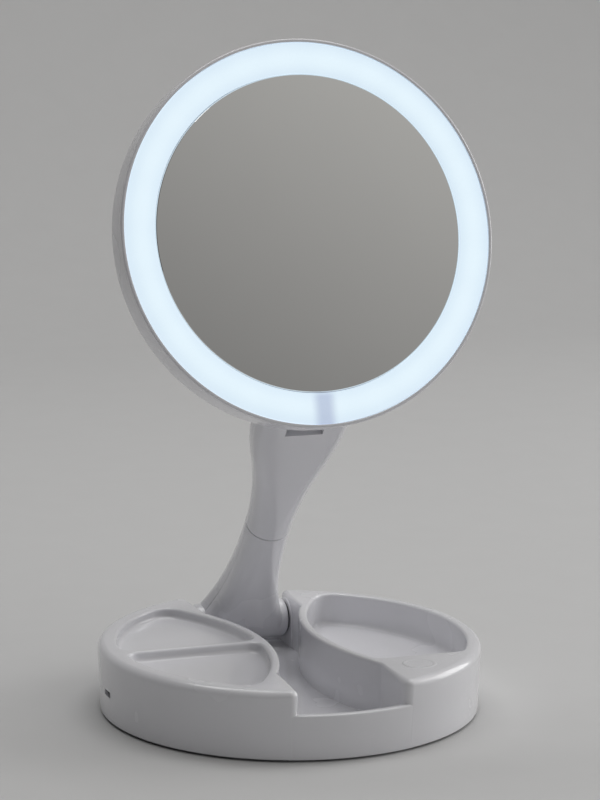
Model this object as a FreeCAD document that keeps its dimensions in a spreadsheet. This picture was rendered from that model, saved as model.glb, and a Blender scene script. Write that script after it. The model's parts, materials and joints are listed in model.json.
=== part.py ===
"""A lighted mirror that folds away into a round tray base, as a parametric document in millimetres.

The base stands on z = 0 with its middle at the origin. The mirror faces -Y and +Z is up. The stem is drawn
along its own Z axis from the base hinge, and the head in a frame at the head hinge, with -Y to the front.
"""
import FreeCAD, Part
import math
import os
import re

import Sketcher

V = FreeCAD.Vector

doc = FreeCAD.newDocument("fold_away_mirror")
sheet = doc.addObject("Spreadsheet::Sheet", "sizes")

SIZES = {
    # base housing
    "base_radius": 84.0,
    "deck_radius": 85.0,
    "deck_height": 31.0,
    "deck_thickness": 2.5,
    "edge_round": 3.6,
    "base_wall": 2.5,
    "foot_height": 1.0,
    "cover_thickness": 2.0,
    "cover_clearance": 0.3,
    # channel for the folded stem
    "channel_waist": 11.1,
    "channel_mouth": 23.5,
    "channel_run": 52.0,
    "channel_arc": 112.0,
    "channel_floor": 7.0,
    "channel_wall": 2.0,
    "front_lip_height": 20.5,
    "rear_lip_height": 11.0,
    # trays
    "left_rim": 8.5,
    "right_rim": 6.5,
    "channel_rim": 4.0,
    "tray_tip_round": 8.0,
    "left_tray_depth": 4.5,
    "right_tray_depth": 15.0,
    "tray_floor_thickness": 2.0,
    "tray_floor_round": 2.0,
    "tray_corner_round": 6.0,
    "divider_y": -1.0,
    "divider_width": 3.5,
    "right_tray_front": -44.5,
    # power button and its switch
    "button_x": 39.0,
    "button_y": -57.5,
    "button_radius": 7.75,
    "button_height": 0.2,
    "button_recess_radius": 10.2,
    "button_recess_depth": 1.2,
    "button_flange_radius": 9.4,
    "button_flange_thickness": 1.5,
    "button_clearance": 0.3,
    "plunger_radius": 2.5,
    "plunger_depth": 2.5,
    "switch_width": 10.0,
    "switch_height": 5.5,
    "switch_well": 4.5,
    "board_thickness": 1.5,
    "board_post": 2.0,
    "board_margin": 2.0,
    "board_width": 20.0,
    "board_length": 18.0,
    "board_x": 37.0,
    "board_y": -53.5,
    # battery box, cells and door
    "cell_radius": 7.25,
    "cell_length": 50.5,
    "cell_gap": 0.3,
    "box_x": -47.0,
    "box_wall": 1.5,
    "contact_thickness": 0.5,
    "contact_margin": 2.0,
    "door_clearance": 0.3,
    # charging socket and indicator in the left wall
    "charge_post": 8.0,
    "charge_board_thickness": 1.2,
    "charge_board_gap": 2.5,
    "charge_board_width": 6.0,
    "charge_board_front": -8.0,
    "charge_board_rear": 13.0,
    "socket_y": -2.2,
    "socket_width": 7.6,
    "socket_height": 2.4,
    "socket_wall": 0.4,
    "socket_depth": 4.5,
    "socket_inset": 1.0,
    "socket_clearance": 0.2,
    "pipe_y": 9.5,
    "pipe_radius": 0.6,
    "pipe_rise": 0.7,
    "pipe_block": 3.0,
    # feet and cover screws
    "foot_radius": 5.0,
    "foot_seat": 0.8,
    "foot_circle": 72.0,
    "boss_radius": 3.5,
    "screw_head_radius": 2.6,
    "screw_head_height": 1.2,
    "screw_radius": 1.25,
    "screw_length": 8.0,
    "screw_tip_gap": 0.5,
    "screw_clearance": 0.15,
    # stem hinge in the base
    "hinge_y": 72.0,
    "hinge_z": 20.0,
    "barrel_radius": 9.3,
    "barrel_half_width": 22.4,
    "hinge_washer": 0.6,
    "hinge_washer_radius": 7.0,
    "cheek_radius": 9.0,
    "hinge_pin_radius": 2.5,
    "running_clearance": 0.05,
    # stem
    "stem_lean": 37.0,
    "stem_length": 145.5,
    "stem_wall": 2.2,
    "seam_station": 70.0,
    "seam_gap": 0.4,
    "seam_radius": 10.2,
    "stem_arc": 155.0,
    "ear_half_width": 21.4,
    "ear_radius": 7.8,
    "ear_slot": 11.5,
    "stem_end_clearance": 0.6,
    "ear_trim": 0.4,
    "spigot_screw_gap": 4.74,
    "stem_screw_cover": 3.0,
    "stem_boss_radius": 3.4,
    # swivel inside the stem
    "spigot_radius": 6.0,
    "spigot_bore": 4.0,
    "spigot_above": 18.0,
    "spigot_below": 19.5,
    "spigot_collar": 2.0,
    "collar_above": 10.0,
    "collar_length": 4.0,
    "sleeve_wall": 1.6,
    "sleeve_length": 16.0,
    "sleeve_flange": 1.2,
    "sleeve_flange_length": 3.0,
    "sleeve_flange_below": 5.0,
    "ring_thickness": 1.2,
    "ring_gap": 0.2,
    "ring_seat_depth": 0.5,
    "ring_width": 2.0,
    # head hinge
    "lug_half_width": 8.0,
    "head_washer": 0.6,
    "head_washer_radius": 6.0,
    "lug_radius": 7.0,
    "lug_neck": 4.5,
    "head_pin_radius": 2.0,
    "bush_radius": 4.0,
    # head
    "head_lean": 15.4,
    "head_offset": 12.3,
    "hinge_overlap": 10.0,
    "head_radius": 83.0,
    "head_depth": 17.0,
    "head_round": 3.0,
    "head_wall": 3.0,
    "head_back": 2.2,
    "rear_glass_inset": 21.5,
    "window_ledge": 3.5,
    "rear_glass_sag": 3.16,
    "glass_thickness": 2.0,
    "rear_glass_play": 0.2,
    "bezel_height": 3.0,
    "bezel_width": 1.5,
    "diffuser_thickness": 2.4,
    "diffuser_clearance": 0.2,
    "light_width": 15.2,
    "mirror_gap": 0.3,
    "carrier_level": 8.0,
    "carrier_thickness": 2.0,
    "carrier_clearance": 0.2,
    "mirror_ledge": 1.2,
    "diffuser_ledge": 1.6,
    "glass_rib_width": 1.5,
    "carrier_boss_gap": 0.3,
    "carrier_boss_radius": 2.2,
    "carrier_screw_head_radius": 2.0,
    "carrier_screw_head_height": 1.2,
    "carrier_screw_radius": 0.9,
    "carrier_screw_length": 4.5,
    "led_board_thickness": 1.6,
    "led_inset": 8.5,
    "led_length": 3.5,
    "led_width": 2.8,
    "led_height": 1.0,
}
# how many there are of what repeats, and where the screws stand
CELLS = 3
FEET = 4
LEDS = 24
CARRIER_SCREWS = 6
STEM_SECTIONS = 8
BASE_SCREWS = [(-32.0, 60.0), (-32.0, -60.0), (32.0, 60.0), (64.0, -38.0)]
LOWER_SCREWS = [0.48]
UPPER_SCREW_MIDDLE = 0.5
# how far a cutting shape runs past the face that it opens, and how near two numbers are to be the same
OVERCUT = 1.0
NEAR = 0.01
# corner radius of the stem's section as a share of its half thickness, and how fast the barrel's flare falls
BARREL_ROUNDNESS = 0.6
SEAM_ROUNDNESS = 0.99
EAR_ROUNDNESS = 0.75
BARREL_FLARE = 3.6

for row, (alias, number) in enumerate(SIZES.items(), start=1):
    sheet.set(f"A{row}", str(number))
    sheet.setAlias(f"A{row}", alias)
doc.recompute()

# heights and places that several pieces share, written in the sheet's own sizes
COVER_TOP = "foot_height + cover_thickness"
DECK_UNDER = "deck_height - deck_thickness"
INNER_RADIUS = "base_radius - base_wall"
LEFT_FLOOR = "deck_height - left_tray_depth"
RIGHT_FLOOR = "deck_height - right_tray_depth"
CHEEK_FACE = "barrel_half_width + hinge_washer"
BOARD_TOP = f"{COVER_TOP} + board_post + board_thickness"
CHARGE_TOP = f"{COVER_TOP} + charge_post + charge_board_thickness"
CELL_LEVEL = f"{COVER_TOP} + cell_gap + cell_radius"
BOX_HALF_WIDTH = f"{CELLS} * cell_radius + {(CELLS + 1) / 2} * cell_gap"
BOX_HALF_LENGTH = "cell_length / 2 + contact_thickness"
BOX_TOP = f"{COVER_TOP} + 2 * cell_radius + 2 * cell_gap"
SEAM_LOW = "seam_station - seam_gap / 2"
SEAM_HIGH = "seam_station + seam_gap / 2"
SLEEVE_LOW = f"{SEAM_LOW} - sleeve_length"
SLEEVE_RADIUS = "spigot_radius + running_clearance + sleeve_wall"
RING_HIGH = f"{SLEEVE_LOW} - ring_gap"
EAR_FACE = "lug_half_width + head_washer"
HEAD_HINGE_Y = "hinge_y - stem_length * sin(stem_lean)"
HEAD_HINGE_Z = "hinge_z + stem_length * cos(stem_lean)"
HEAD_RIM = "head_depth - bezel_height"
BEZEL_INNER = "head_radius - bezel_width"
FACE_LEVEL = f"{HEAD_RIM} + diffuser_thickness"
CARRIER_TOP = "carrier_level + carrier_thickness"
SHELL_INNER = "head_radius - head_wall"
HEAD_REACH = "head_radius - hinge_overlap"
MIRROR_RADIUS = "head_radius - light_width"
RIB_INNER = f"{MIRROR_RADIUS} - mirror_ledge"
REAR_GLASS = "head_radius - rear_glass_inset"
REAR_WINDOW = f"{REAR_GLASS} - window_ledge"
CARRIER_CIRCLE = f"{REAR_GLASS} + carrier_boss_radius + carrier_boss_gap"
LED_CIRCLE = "head_radius - led_inset"
CHARGE_EDGE = f"charge_board_gap - ({INNER_RADIUS})"
SPIGOT_TOP = f"{SEAM_HIGH} + spigot_above"
SLOT_LOW = "stem_length - ear_slot"
FRONT_SLOT_LOW = "stem_length - lug_radius - head_washer"
STEM_END = f"{INNER_RADIUS} - stem_end_clearance"
STEM_END_MIDDLE = f"stem_length + ear_radius - ear_trim - ({STEM_END})"

LEAN_FORWARD = V(1, 0, 0)
LEAN_BACK = V(-1, 0, 0)
FRAMES = {
    "base": (("0", "0", "0"), LEAN_FORWARD, "0"),
    "stem": (("0", "hinge_y", "hinge_z"), LEAN_FORWARD, "stem_lean"),
    "head": (("0", HEAD_HINGE_Y, HEAD_HINGE_Z), LEAN_BACK, "head_lean"),
    "disc": (
        (
            "0",
            f"{HEAD_HINGE_Y} + ({HEAD_REACH}) * sin(head_lean)",
            f"{HEAD_HINGE_Z} + ({HEAD_REACH}) * cos(head_lean)",
        ),
        LEAN_BACK,
        "head_lean",
    ),
}
AXIS_TURNS = {
    "X": FreeCAD.Rotation(V(0, 1, 0), 90),
    "Y": FreeCAD.Rotation(V(1, 0, 0), -90),
    "Z": FreeCAD.Rotation(),
}
nodes = []


def value(text):
    """The number that a size, or a sum of sizes, comes to."""
    return float(sheet.evalExpression(text))


def bound(text):
    """The same sum with each size written as a cell of the sheet."""
    return re.sub(r"[a-z_]+", lambda word: f"sizes.{word[0]}" if word[0] in SIZES else word[0], text)


def bind(piece, **sums):
    for name, text in sums.items():
        piece.setExpression(name, bound(text))
    return piece


def shift(piece, x="0", y="0", z="0"):
    for name, text in zip("xyz", (x, y, z)):
        piece.setExpression(f".Placement.Base.{name}", bound(text))
    return piece


def node(piece, label, frame="base"):
    """Finishes a sub-part: its own label, its frame, and its place in the list to be written."""
    place, axis, angle = FRAMES[frame]
    piece.Label = label
    if value(angle):
        piece.Placement = FreeCAD.Placement(V(), FreeCAD.Rotation(axis, value(angle)))
        piece.setExpression(".Placement.Rotation.Angle", bound(angle))
    if frame != "base":
        shift(piece, *place)
    nodes.append(piece)
    return piece


def box(name, x, y, z):
    """A block between the low and high sums given for each axis."""
    piece = doc.addObject("Part::Box", name)
    sides = [f"({high}) - ({low})" for low, high in (x, y, z)]
    bind(piece, Length=sides[0], Width=sides[1], Height=sides[2])
    return shift(piece, x[0], y[0], z[0])


def rod(name, radius, low, high, axis="Z", at=("0", "0")):
    """A cylinder along an axis, at the other two coordinates in the order x, y, z."""
    piece = doc.addObject("Part::Cylinder", name)
    piece.Placement = FreeCAD.Placement(V(), AXIS_TURNS[axis])
    bind(piece, Radius=radius, Height=f"({high}) - ({low})")
    place = list(at)
    place.insert("XYZ".index(axis), low)
    return shift(piece, *place)


def fuse(name, *pieces):
    piece = doc.addObject("Part::MultiFuse", name)
    piece.Shapes = list(pieces)
    piece.Refine = True
    return piece


def cut(name, base, *tools):
    piece = doc.addObject("Part::Cut", name)
    piece.Base = base
    piece.Tool = tools[0] if len(tools) == 1 else fuse(f"{name}_tools", *tools)
    piece.Refine = True
    return piece


def common(name, *pieces):
    piece = doc.addObject("Part::MultiCommon", name)
    piece.Shapes = list(pieces)
    return piece


def gather(name, pieces):
    piece = doc.addObject("Part::Compound", name)
    piece.Links = list(pieces)
    return piece


def shaped(name, shape):
    piece = doc.addObject("Part::Feature", name)
    piece.Shape = shape
    return piece


def tube(name, inner, outer, low, high, axis="X", at=("0", "0")):
    return cut(
        name,
        rod(f"{name}_outside", outer, low, high, axis, at),
        rod(f"{name}_inside", inner, f"({low}) - {OVERCUT}", f"({high}) + {OVERCUT}", axis, at),
    )


def arc_between(start, end, radius):
    """The shorter arc from start to end that swells to the right of the way, or to the left if negative."""
    chord = end - start
    across = V(chord.y, -chord.x, 0).normalize() * (1 if radius > 0 else -1)
    middle = (start + end) * 0.5
    rise = math.sqrt(radius**2 - (chord.Length / 2) ** 2)
    centre = middle - across * rise
    first, last = (start, end) if radius > 0 else (end, start)
    angles = [math.atan2(p.y - centre.y, p.x - centre.x) for p in (first, last)]
    return Part.ArcOfCircle(Part.Circle(centre, V(0, 0, 1), abs(radius)), *angles)


def turned(name, outline, axis="Z"):
    """A body turned about an axis. A corner is (radius, height), plus the radius of an arc leading to it."""
    body = doc.addObject("PartDesign::Body", name)
    origin = {feature.Role: feature for feature in body.Origin.OriginFeatures}
    sketch = body.newObject("Sketcher::SketchObject", f"{name}_outline")
    sketch.AttachmentSupport = [(origin["XZ_Plane" if axis == "Z" else "XY_Plane"], "")]
    sketch.MapMode = "FlatFace"
    points = [V(value(corner[0]), value(corner[1]), 0) for corner in outline]
    ends = []
    for index, corner in enumerate(outline):
        start, end = points[index - 1], points[index]
        if len(corner) == 3:
            radius = value(corner[2])
            number = sketch.addGeometry(arc_between(start, end, radius))
            size = sketch.addConstraint(Sketcher.Constraint("Radius", number, abs(radius)))
            sketch.setExpression(f"Constraints[{size}]", bound(f"abs({corner[2]})"))
            ends.append((number, 1, 2) if radius > 0 else (number, 2, 1))
        else:
            ends.append((sketch.addGeometry(Part.LineSegment(start, end)), 1, 2))
    for index, (number, _, last) in enumerate(ends):
        following, first, _ = ends[(index + 1) % len(ends)]
        sketch.addConstraint(Sketcher.Constraint("Coincident", number, last, following, first))
        for kind, length, text in zip(("DistanceX", "DistanceY"), points[index], outline[index]):
            size = sketch.addConstraint(Sketcher.Constraint(kind, -1, 1, number, last, length))
            sketch.setExpression(f"Constraints[{size}]", bound(text))
    turn = body.newObject("PartDesign::Revolution", f"{name}_turn")
    turn.Profile = sketch
    turn.ReferenceAxis = (origin[f"{axis}_Axis"], [""])
    turn.Angle = 360
    return body


def screw(name, head_radius, head_height, radius, length):
    """A screw with the underside of its head at the origin and its shank along -Z."""
    outline = [("0", f"-({length})"), (radius, f"-({length})"), (radius, "0")]
    outline += [(head_radius, "0"), (head_radius, head_height), ("0", head_height)]
    return turned(name, outline)


SCREW = ("screw_head_radius", "screw_head_height", "screw_radius", "screw_length")


def wire(path):
    """A closed wire in the XY plane through points, where (middle, end) leads to a point along an arc."""
    ends = [step[1] if isinstance(step, tuple) else step for step in path]
    edges = []
    for index, step in enumerate(path):
        start = ends[index - 1]
        if isinstance(step, tuple):
            edges.append(Part.Arc(start, *step).toShape())
        else:
            edges.append(Part.LineSegment(start, step).toShape())
    return Part.Wire(edges)


def prism(outline, low, high):
    solid = Part.Face(outline).extrude(V(0, 0, high - low))
    solid.translate(V(0, 0, low))
    return solid


def rounded(solid, radius, chosen):
    """The solid with the edges rounded whose end points all pass the test."""
    edges = [edge for edge in solid.Edges if all(chosen(vertex.Point) for vertex in edge.Vertexes)]
    return solid.makeFillet(radius, edges)


def two_arcs(waist, mouth, run, first):
    """Centres and radii of the two arcs of a side that leads from a waist to a mouth."""
    rise = mouth - waist
    second = (run**2 + rise**2) / (2 * rise) - first
    return V(waist + first, 0, 0), first, V(mouth - second, run, 0), second


def channel_bends():
    """The arcs of the channel's side."""
    return two_arcs(value("channel_waist"), value("channel_mouth"), value("channel_run"), value("channel_arc"))


def upper_half_width(past_seam):
    """Half the width of the upper stem, which swells along two arcs from the seam to the head hinge."""
    run = value(f"stem_length - ({SEAM_HIGH})")
    arcs = two_arcs(value("seam_radius"), value("ear_half_width"), run, value("stem_arc"))
    waist_centre, first, mouth_centre, second = arcs
    bend = waist_centre + (mouth_centre - waist_centre).normalize() * first
    if past_seam >= run:
        return value("ear_half_width")
    if past_seam <= bend.y:
        return waist_centre.x - math.sqrt(first**2 - past_seam**2)
    return mouth_centre.x + math.sqrt(second**2 - (run - past_seam) ** 2)


def hourglass(grow, far):
    """The channel's outline with each side moved out by grow, running to y = far at both ends."""
    waist_centre, first, mouth_centre, second = channel_bends()
    bend = waist_centre + (mouth_centre - waist_centre).normalize() * (first - grow)
    swell = mouth_centre + ((bend - mouth_centre).normalize() + V(1, 0, 0)).normalize() * (second + grow)
    mouth = value("channel_mouth") + grow
    waist = V(value("channel_waist") + grow, 0, 0)
    front = [V(p.x, -p.y, 0) for p in (bend, swell)]
    side = [V(mouth, far, 0), V(mouth, mouth_centre.y, 0), (swell, bend), (waist, front[0])]
    side += [(front[1], V(mouth, -mouth_centre.y, 0)), V(mouth, -far, 0)]
    other = [tuple(-p for p in step) if isinstance(step, tuple) else -step for step in side]
    return wire(side + other)


def lens(side, rim, grow):
    """A tray's outline between the outer rim and the channel, on the side +1 or -1 of x."""
    waist_centre, first, _, _ = channel_bends()
    outer = value("deck_radius") - rim + grow
    inner = first - value("channel_rim") + grow
    tip = value("tray_tip_round") + grow
    reach = waist_centre.x
    x = ((outer - tip) ** 2 - (inner - tip) ** 2 + reach**2) / (2 * reach)
    centre = V(x, math.sqrt((outer - tip) ** 2 - x**2), 0)
    outward = V(centre).normalize()
    inward = (centre - waist_centre).normalize()
    tip_middle = centre + (outward + inward).normalize() * tip
    rear = [centre + inward * tip, tip_middle, centre + outward * tip]
    front = [V(p.x, -p.y, 0) for p in rear]
    path = [front[0], (V(reach - inner, 0, 0), rear[0]), (rear[1], rear[2])]
    path += [(V(outer, 0, 0), front[2]), (front[1], front[0])]
    flipped = [
        tuple(V(side * p.x, p.y, 0) for p in step) if isinstance(step, tuple) else V(side * step.x, step.y, 0)
        for step in path
    ]
    return wire(flipped[1:])


def upright_at(y):
    """Picks the upright corner edges that stand on the line y."""
    return lambda point: abs(point.y - y) < NEAR


def at_level(z):
    return lambda point: abs(point.z - z) < NEAR


def corner_edges(solid, y):
    """The solid with its upright corners on the line y rounded."""
    chosen = upright_at(y)
    edges = [
        edge
        for edge in solid.Edges
        if all(chosen(vertex.Point) for vertex in edge.Vertexes)
        and edge.BoundBox.ZLength > NEAR
        and edge.BoundBox.XLength < NEAR
    ]
    return solid.makeFillet(value("tray_corner_round"), edges)


def tray(outline, floor, top, front=None, rear=None, floor_round=0):
    """A tray's solid from its floor up, cut straight at the front or the rear, with rounded corners."""
    solid = prism(outline, floor, top)
    far = 2 * value("base_radius")
    for edge, low, high in ((front, -far, front), (rear, rear, far)):
        if edge is not None:
            solid = solid.cut(Part.makeBox(2 * far, high - low, far, V(-far, low, 0)))
            solid = corner_edges(solid, edge)
    if floor_round:
        solid = rounded(solid, floor_round, at_level(floor))
    return solid


def section(station, half_width, half_thickness, corner):
    """A rounded rectangle across the stem."""
    flat_x, flat_y = half_width - corner, half_thickness - corner
    slant = corner * math.sqrt(0.5)
    path = []
    for sx, sy in ((1, -1), (1, 1), (-1, 1), (-1, -1)):
        ends = [V(sx * half_width, sy * flat_y, 0), V(sx * flat_x, sy * half_thickness, 0)]
        if sx * sy < 0:
            ends.reverse()
        path += [ends[0], (V(sx * (flat_x + slant), sy * (flat_y + slant), 0), ends[1])]
    outline = wire(path)
    outline.translate(V(0, 0, station))
    return outline


def upper_section(station, inset=0.0):
    """The upper stem's section: round at the seam, and wide and flat at the ears."""
    seam, ears = value(SEAM_HIGH), value(SLOT_LOW)
    along = min((station - seam) / (ears - seam), 1.0)
    half_width = upper_half_width(station - seam)
    half_thickness = value("seam_radius") + (value("ear_radius") - value("seam_radius")) * along
    roundness = SEAM_ROUNDNESS + (EAR_ROUNDNESS - SEAM_ROUNDNESS) * along
    corner = min(half_width, half_thickness) * roundness
    return section(station, half_width - inset, half_thickness - inset, corner - inset)


def lower_section(station, inset=0.0):
    """The lower stem's section: wide at the barrel and round at the seam."""
    along = station / value(SEAM_LOW)
    seam = value("seam_radius")
    half_width = seam + (value("barrel_half_width") - seam) * (1 - along) ** BARREL_FLARE
    half_thickness = value("barrel_radius") + (seam - value("barrel_radius")) * along
    corner = half_thickness * (BARREL_ROUNDNESS + (SEAM_ROUNDNESS - BARREL_ROUNDNESS) * along)
    return section(station, half_width - inset, half_thickness - inset, corner - inset)


def stem_loft(name, shape_at, low, high, inset=0.0):
    steps = [low + (high - low) * index / (STEM_SECTIONS - 1) for index in range(STEM_SECTIONS)]
    return shaped(name, Part.makeLoft([shape_at(step, inset) for step in steps], True))


# base housing
cup = turned(
    "cup",
    [
        (INNER_RADIUS, "foot_height"),
        ("base_radius", "foot_height"),
        ("deck_radius", "deck_height - edge_round"),
        ("deck_radius - edge_round", "deck_height", "edge_round"),
        ("0", "deck_height"),
        ("0", DECK_UNDER),
        ("deck_radius - base_wall", DECK_UNDER),
    ],
)
floor_z = value("channel_floor")
above = value("deck_height") + OVERCUT
under_deck = value("deck_height - deck_thickness / 2")
far_y = 1.5 * value("base_radius")
tray_wall = value("channel_wall")
floor_plate = value("tray_floor_thickness")
channel_block = common(
    "channel_block",
    shaped("channel_walls", prism(hourglass(tray_wall, far_y), floor_z - tray_wall, under_deck)),
    rod("channel_limit", f"{INNER_RADIUS} + base_wall / 2", "0", "deck_height"),
)
left_floor, right_floor = value(LEFT_FLOOR), value(RIGHT_FLOOR)
left_rim, right_rim = value("left_rim"), value("right_rim")
right_front = value("right_tray_front")
left_block = shaped("left_block", tray(lens(-1, left_rim, tray_wall), left_floor - floor_plate, under_deck))
right_block = shaped(
    "right_block",
    tray(lens(1, right_rim, tray_wall), right_floor - floor_plate, under_deck, front=right_front - tray_wall),
)
bosses = [
    rod(f"boss_{index}", "boss_radius", COVER_TOP, f"{DECK_UNDER} + deck_thickness / 2", at=(str(x), str(y)))
    for index, (x, y) in enumerate(BASE_SCREWS, start=1)
]
boss_holes = [
    rod(
        f"boss_hole_{index}",
        "screw_radius + running_clearance",
        "foot_height",
        f"{COVER_TOP} + screw_length",
        at=(str(x), str(y)),
    )
    for index, (x, y) in enumerate(BASE_SCREWS, start=1)
]
channel_cut = common(
    "channel_cut",
    shaped("channel_space", prism(hourglass(0, far_y), floor_z, above)),
    rod("channel_ends", INNER_RADIUS, "0", f"deck_height + 2 * {OVERCUT}"),
)
front_mouth = box(
    "front_mouth",
    ("-channel_mouth", "channel_mouth"),
    ("-2 * base_radius", "-channel_run"),
    ("front_lip_height", f"deck_height + {OVERCUT}"),
)
rear_mouth = box(
    "rear_mouth",
    ("-channel_mouth", "channel_mouth"),
    ("channel_run", "2 * base_radius"),
    ("rear_lip_height", f"deck_height + {OVERCUT}"),
)
divider_y, half_divider = value("divider_y"), value("divider_width / 2")
floor_round = value("tray_floor_round")
left_outline = lens(-1, left_rim, 0)
trays = [
    shaped(
        "left_rear_tray",
        tray(left_outline, left_floor, above, front=divider_y + half_divider, floor_round=floor_round),
    ),
    shaped(
        "left_front_tray",
        tray(left_outline, left_floor, above, rear=divider_y - half_divider, floor_round=floor_round),
    ),
    shaped(
        "right_tray",
        tray(lens(1, right_rim, 0), right_floor, above, front=right_front, floor_round=floor_round),
    ),
]
button_at = ("button_x", "button_y")
button_recess = rod(
    "button_recess",
    "button_recess_radius",
    "deck_height - button_recess_depth",
    f"deck_height + {OVERCUT}",
    at=button_at,
)
button_hole = rod(
    "button_hole",
    "button_radius + button_clearance",
    f"{DECK_UNDER} - {OVERCUT}",
    "deck_height",
    at=button_at,
)
SOCKET_LOW = CHARGE_TOP
SOCKET_HIGH = f"{CHARGE_TOP} + socket_height"
SOCKET_SIDES = ("socket_y - socket_width / 2", "socket_y + socket_width / 2")
socket_slot = box(
    "socket_slot",
    ("-2 * base_radius", f"2 * {OVERCUT} - ({INNER_RADIUS})"),
    (f"{SOCKET_SIDES[0]} - socket_clearance", f"{SOCKET_SIDES[1]} + socket_clearance"),
    (f"{SOCKET_LOW} - socket_clearance", f"{SOCKET_HIGH} + socket_clearance"),
)
PIPE_LEVEL = f"{CHARGE_TOP} + pipe_rise"
pipe_hole = rod(
    "pipe_hole",
    "pipe_radius + running_clearance",
    "-2 * base_radius",
    f"2 * {OVERCUT} - ({INNER_RADIUS})",
    "X",
    ("pipe_y", PIPE_LEVEL),
)
opened = cut(
    "opened",
    fuse("closed", cup, channel_block, left_block, right_block, *bosses),
    channel_cut,
    front_mouth,
    rear_mouth,
    *trays,
    *boss_holes,
    button_recess,
    button_hole,
    socket_slot,
    pipe_hole,
)
cheeks = []
for side, low, high in (
    ("left", "-channel_mouth - channel_wall / 2", f"-({CHEEK_FACE})"),
    ("right", CHEEK_FACE, "channel_mouth + channel_wall / 2"),
):
    cheeks.append(rod(f"{side}_cheek_top", "cheek_radius", low, high, "X", ("hinge_y", "hinge_z")))
    cheeks.append(
        box(
            f"{side}_cheek",
            (low, high),
            ("hinge_y - cheek_radius", "hinge_y + cheek_radius"),
            ("channel_floor - channel_wall / 2", "hinge_z"),
        )
    )
PIN_HALF = "channel_mouth + channel_wall"
pin_bore = rod(
    "pin_bore",
    "hinge_pin_radius + running_clearance",
    f"-({PIN_HALF}) - {OVERCUT}",
    f"{PIN_HALF} + {OVERCUT}",
    "X",
    ("hinge_y", "hinge_z"),
)
node(cut("housing", fuse("with_cheeks", opened, *cheeks), pin_bore), "base_housing")

# bottom cover with the battery box and the posts for the boards
cover_plate = rod("cover_plate", f"{INNER_RADIUS} - cover_clearance", "foot_height", COVER_TOP)
box_x = [f"box_x - ({BOX_HALF_WIDTH})", f"box_x + {BOX_HALF_WIDTH}"]
box_y = [f"-({BOX_HALF_LENGTH})", BOX_HALF_LENGTH]
battery_walls = box(
    "battery_walls",
    (f"{box_x[0]} - box_wall", f"{box_x[1]} + box_wall"),
    (f"{box_y[0]} - box_wall", f"{box_y[1]} + box_wall"),
    ("foot_height", f"{BOX_TOP} + box_wall"),
)
battery_space = box("battery_space", box_x, box_y, (f"foot_height - {OVERCUT}", BOX_TOP))
BOARD_X = ("board_x - board_width / 2", "board_x + board_width / 2")
BOARD_Y = ("board_y - board_length / 2", "board_y + board_length / 2")
board_post = box(
    "board_post",
    (f"{BOARD_X[0]} + board_margin", f"{BOARD_X[1]} - board_margin"),
    (f"{BOARD_Y[0]} + board_margin", f"{BOARD_Y[1]} - board_margin"),
    ("foot_height + cover_thickness / 2", f"{COVER_TOP} + board_post"),
)
CHARGE_X = (CHARGE_EDGE, f"{CHARGE_EDGE} + charge_board_width")
CHARGE_Y = ("charge_board_front", "charge_board_rear")
charge_post = box(
    "charge_post",
    CHARGE_X,
    CHARGE_Y,
    ("foot_height + cover_thickness / 2", f"{COVER_TOP} + charge_post"),
)
FOOT_PLACES = [
    tuple(f"foot_circle * {turn}({360 * (index + 0.5) / FEET})" for turn in ("cos", "sin"))
    for index in range(FEET)
]
BELOW_COVER = f"foot_height - {OVERCUT}"
FOOT_TOP = "foot_height + foot_seat"
foot_seats = [
    rod(f"foot_seat_{index}", "foot_radius + running_clearance", BELOW_COVER, FOOT_TOP, at=at)
    for index, at in enumerate(FOOT_PLACES, start=1)
]
HEAD_SEAT = "foot_height + screw_head_height"
screw_seats = []
for index, (x, y) in enumerate(BASE_SCREWS, start=1):
    at = (str(x), str(y))
    head = "screw_head_radius + screw_clearance"
    hole = "screw_radius + screw_clearance"
    screw_seats.append(rod(f"head_seat_{index}", head, BELOW_COVER, HEAD_SEAT, at=at))
    screw_seats.append(rod(f"cover_hole_{index}", hole, "foot_height", f"{COVER_TOP} + {OVERCUT}", at=at))
cover_solid = fuse("cover_solid", cover_plate, battery_walls, board_post, charge_post)
node(cut("cover", cover_solid, battery_space, *foot_seats, *screw_seats), "base_cover")

node(
    gather(
        "feet",
        [
            rod(f"foot_{index}", "foot_radius", "0", FOOT_TOP, at=at)
            for index, at in enumerate(FOOT_PLACES, start=1)
        ],
    ),
    "rubber_feet",
)
cover_screws = []
for index, (x, y) in enumerate(BASE_SCREWS, start=1):
    piece = screw(f"cover_screw_{index}", *SCREW)
    piece.Placement = FreeCAD.Placement(V(), FreeCAD.Rotation(V(1, 0, 0), 180))
    cover_screws.append(shift(piece, str(x), str(y), HEAD_SEAT))
node(gather("cover_screws", cover_screws), "base_screws")

# battery door, cells and contacts
door_x = (f"{box_x[0]} + door_clearance", f"{box_x[1]} - door_clearance")
door_y = (f"{box_y[0]} + door_clearance", f"{box_y[1]} - door_clearance")
node(box("door", door_x, door_y, ("foot_height", COVER_TOP)), "battery_door")
for index in range(CELLS):
    offset = index - (CELLS - 1) / 2
    at = (f"box_x + {offset} * (2 * cell_radius + cell_gap)", CELL_LEVEL)
    cell = rod(f"cell_{index + 1}", "cell_radius", "-cell_length / 2", "cell_length / 2", "Y", at)
    node(cell, f"battery_cell_{index + 1}")
for side, low, high in (("front", box_y[0], "-cell_length / 2"), ("rear", "cell_length / 2", box_y[1])):
    contact = box(
        f"{side}_contact",
        (f"{box_x[0]} + contact_margin", f"{box_x[1]} - contact_margin"),
        (low, high),
        (f"{COVER_TOP} + contact_margin", f"{BOX_TOP} - contact_margin"),
    )
    node(contact, f"battery_contact_{side}")

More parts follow.
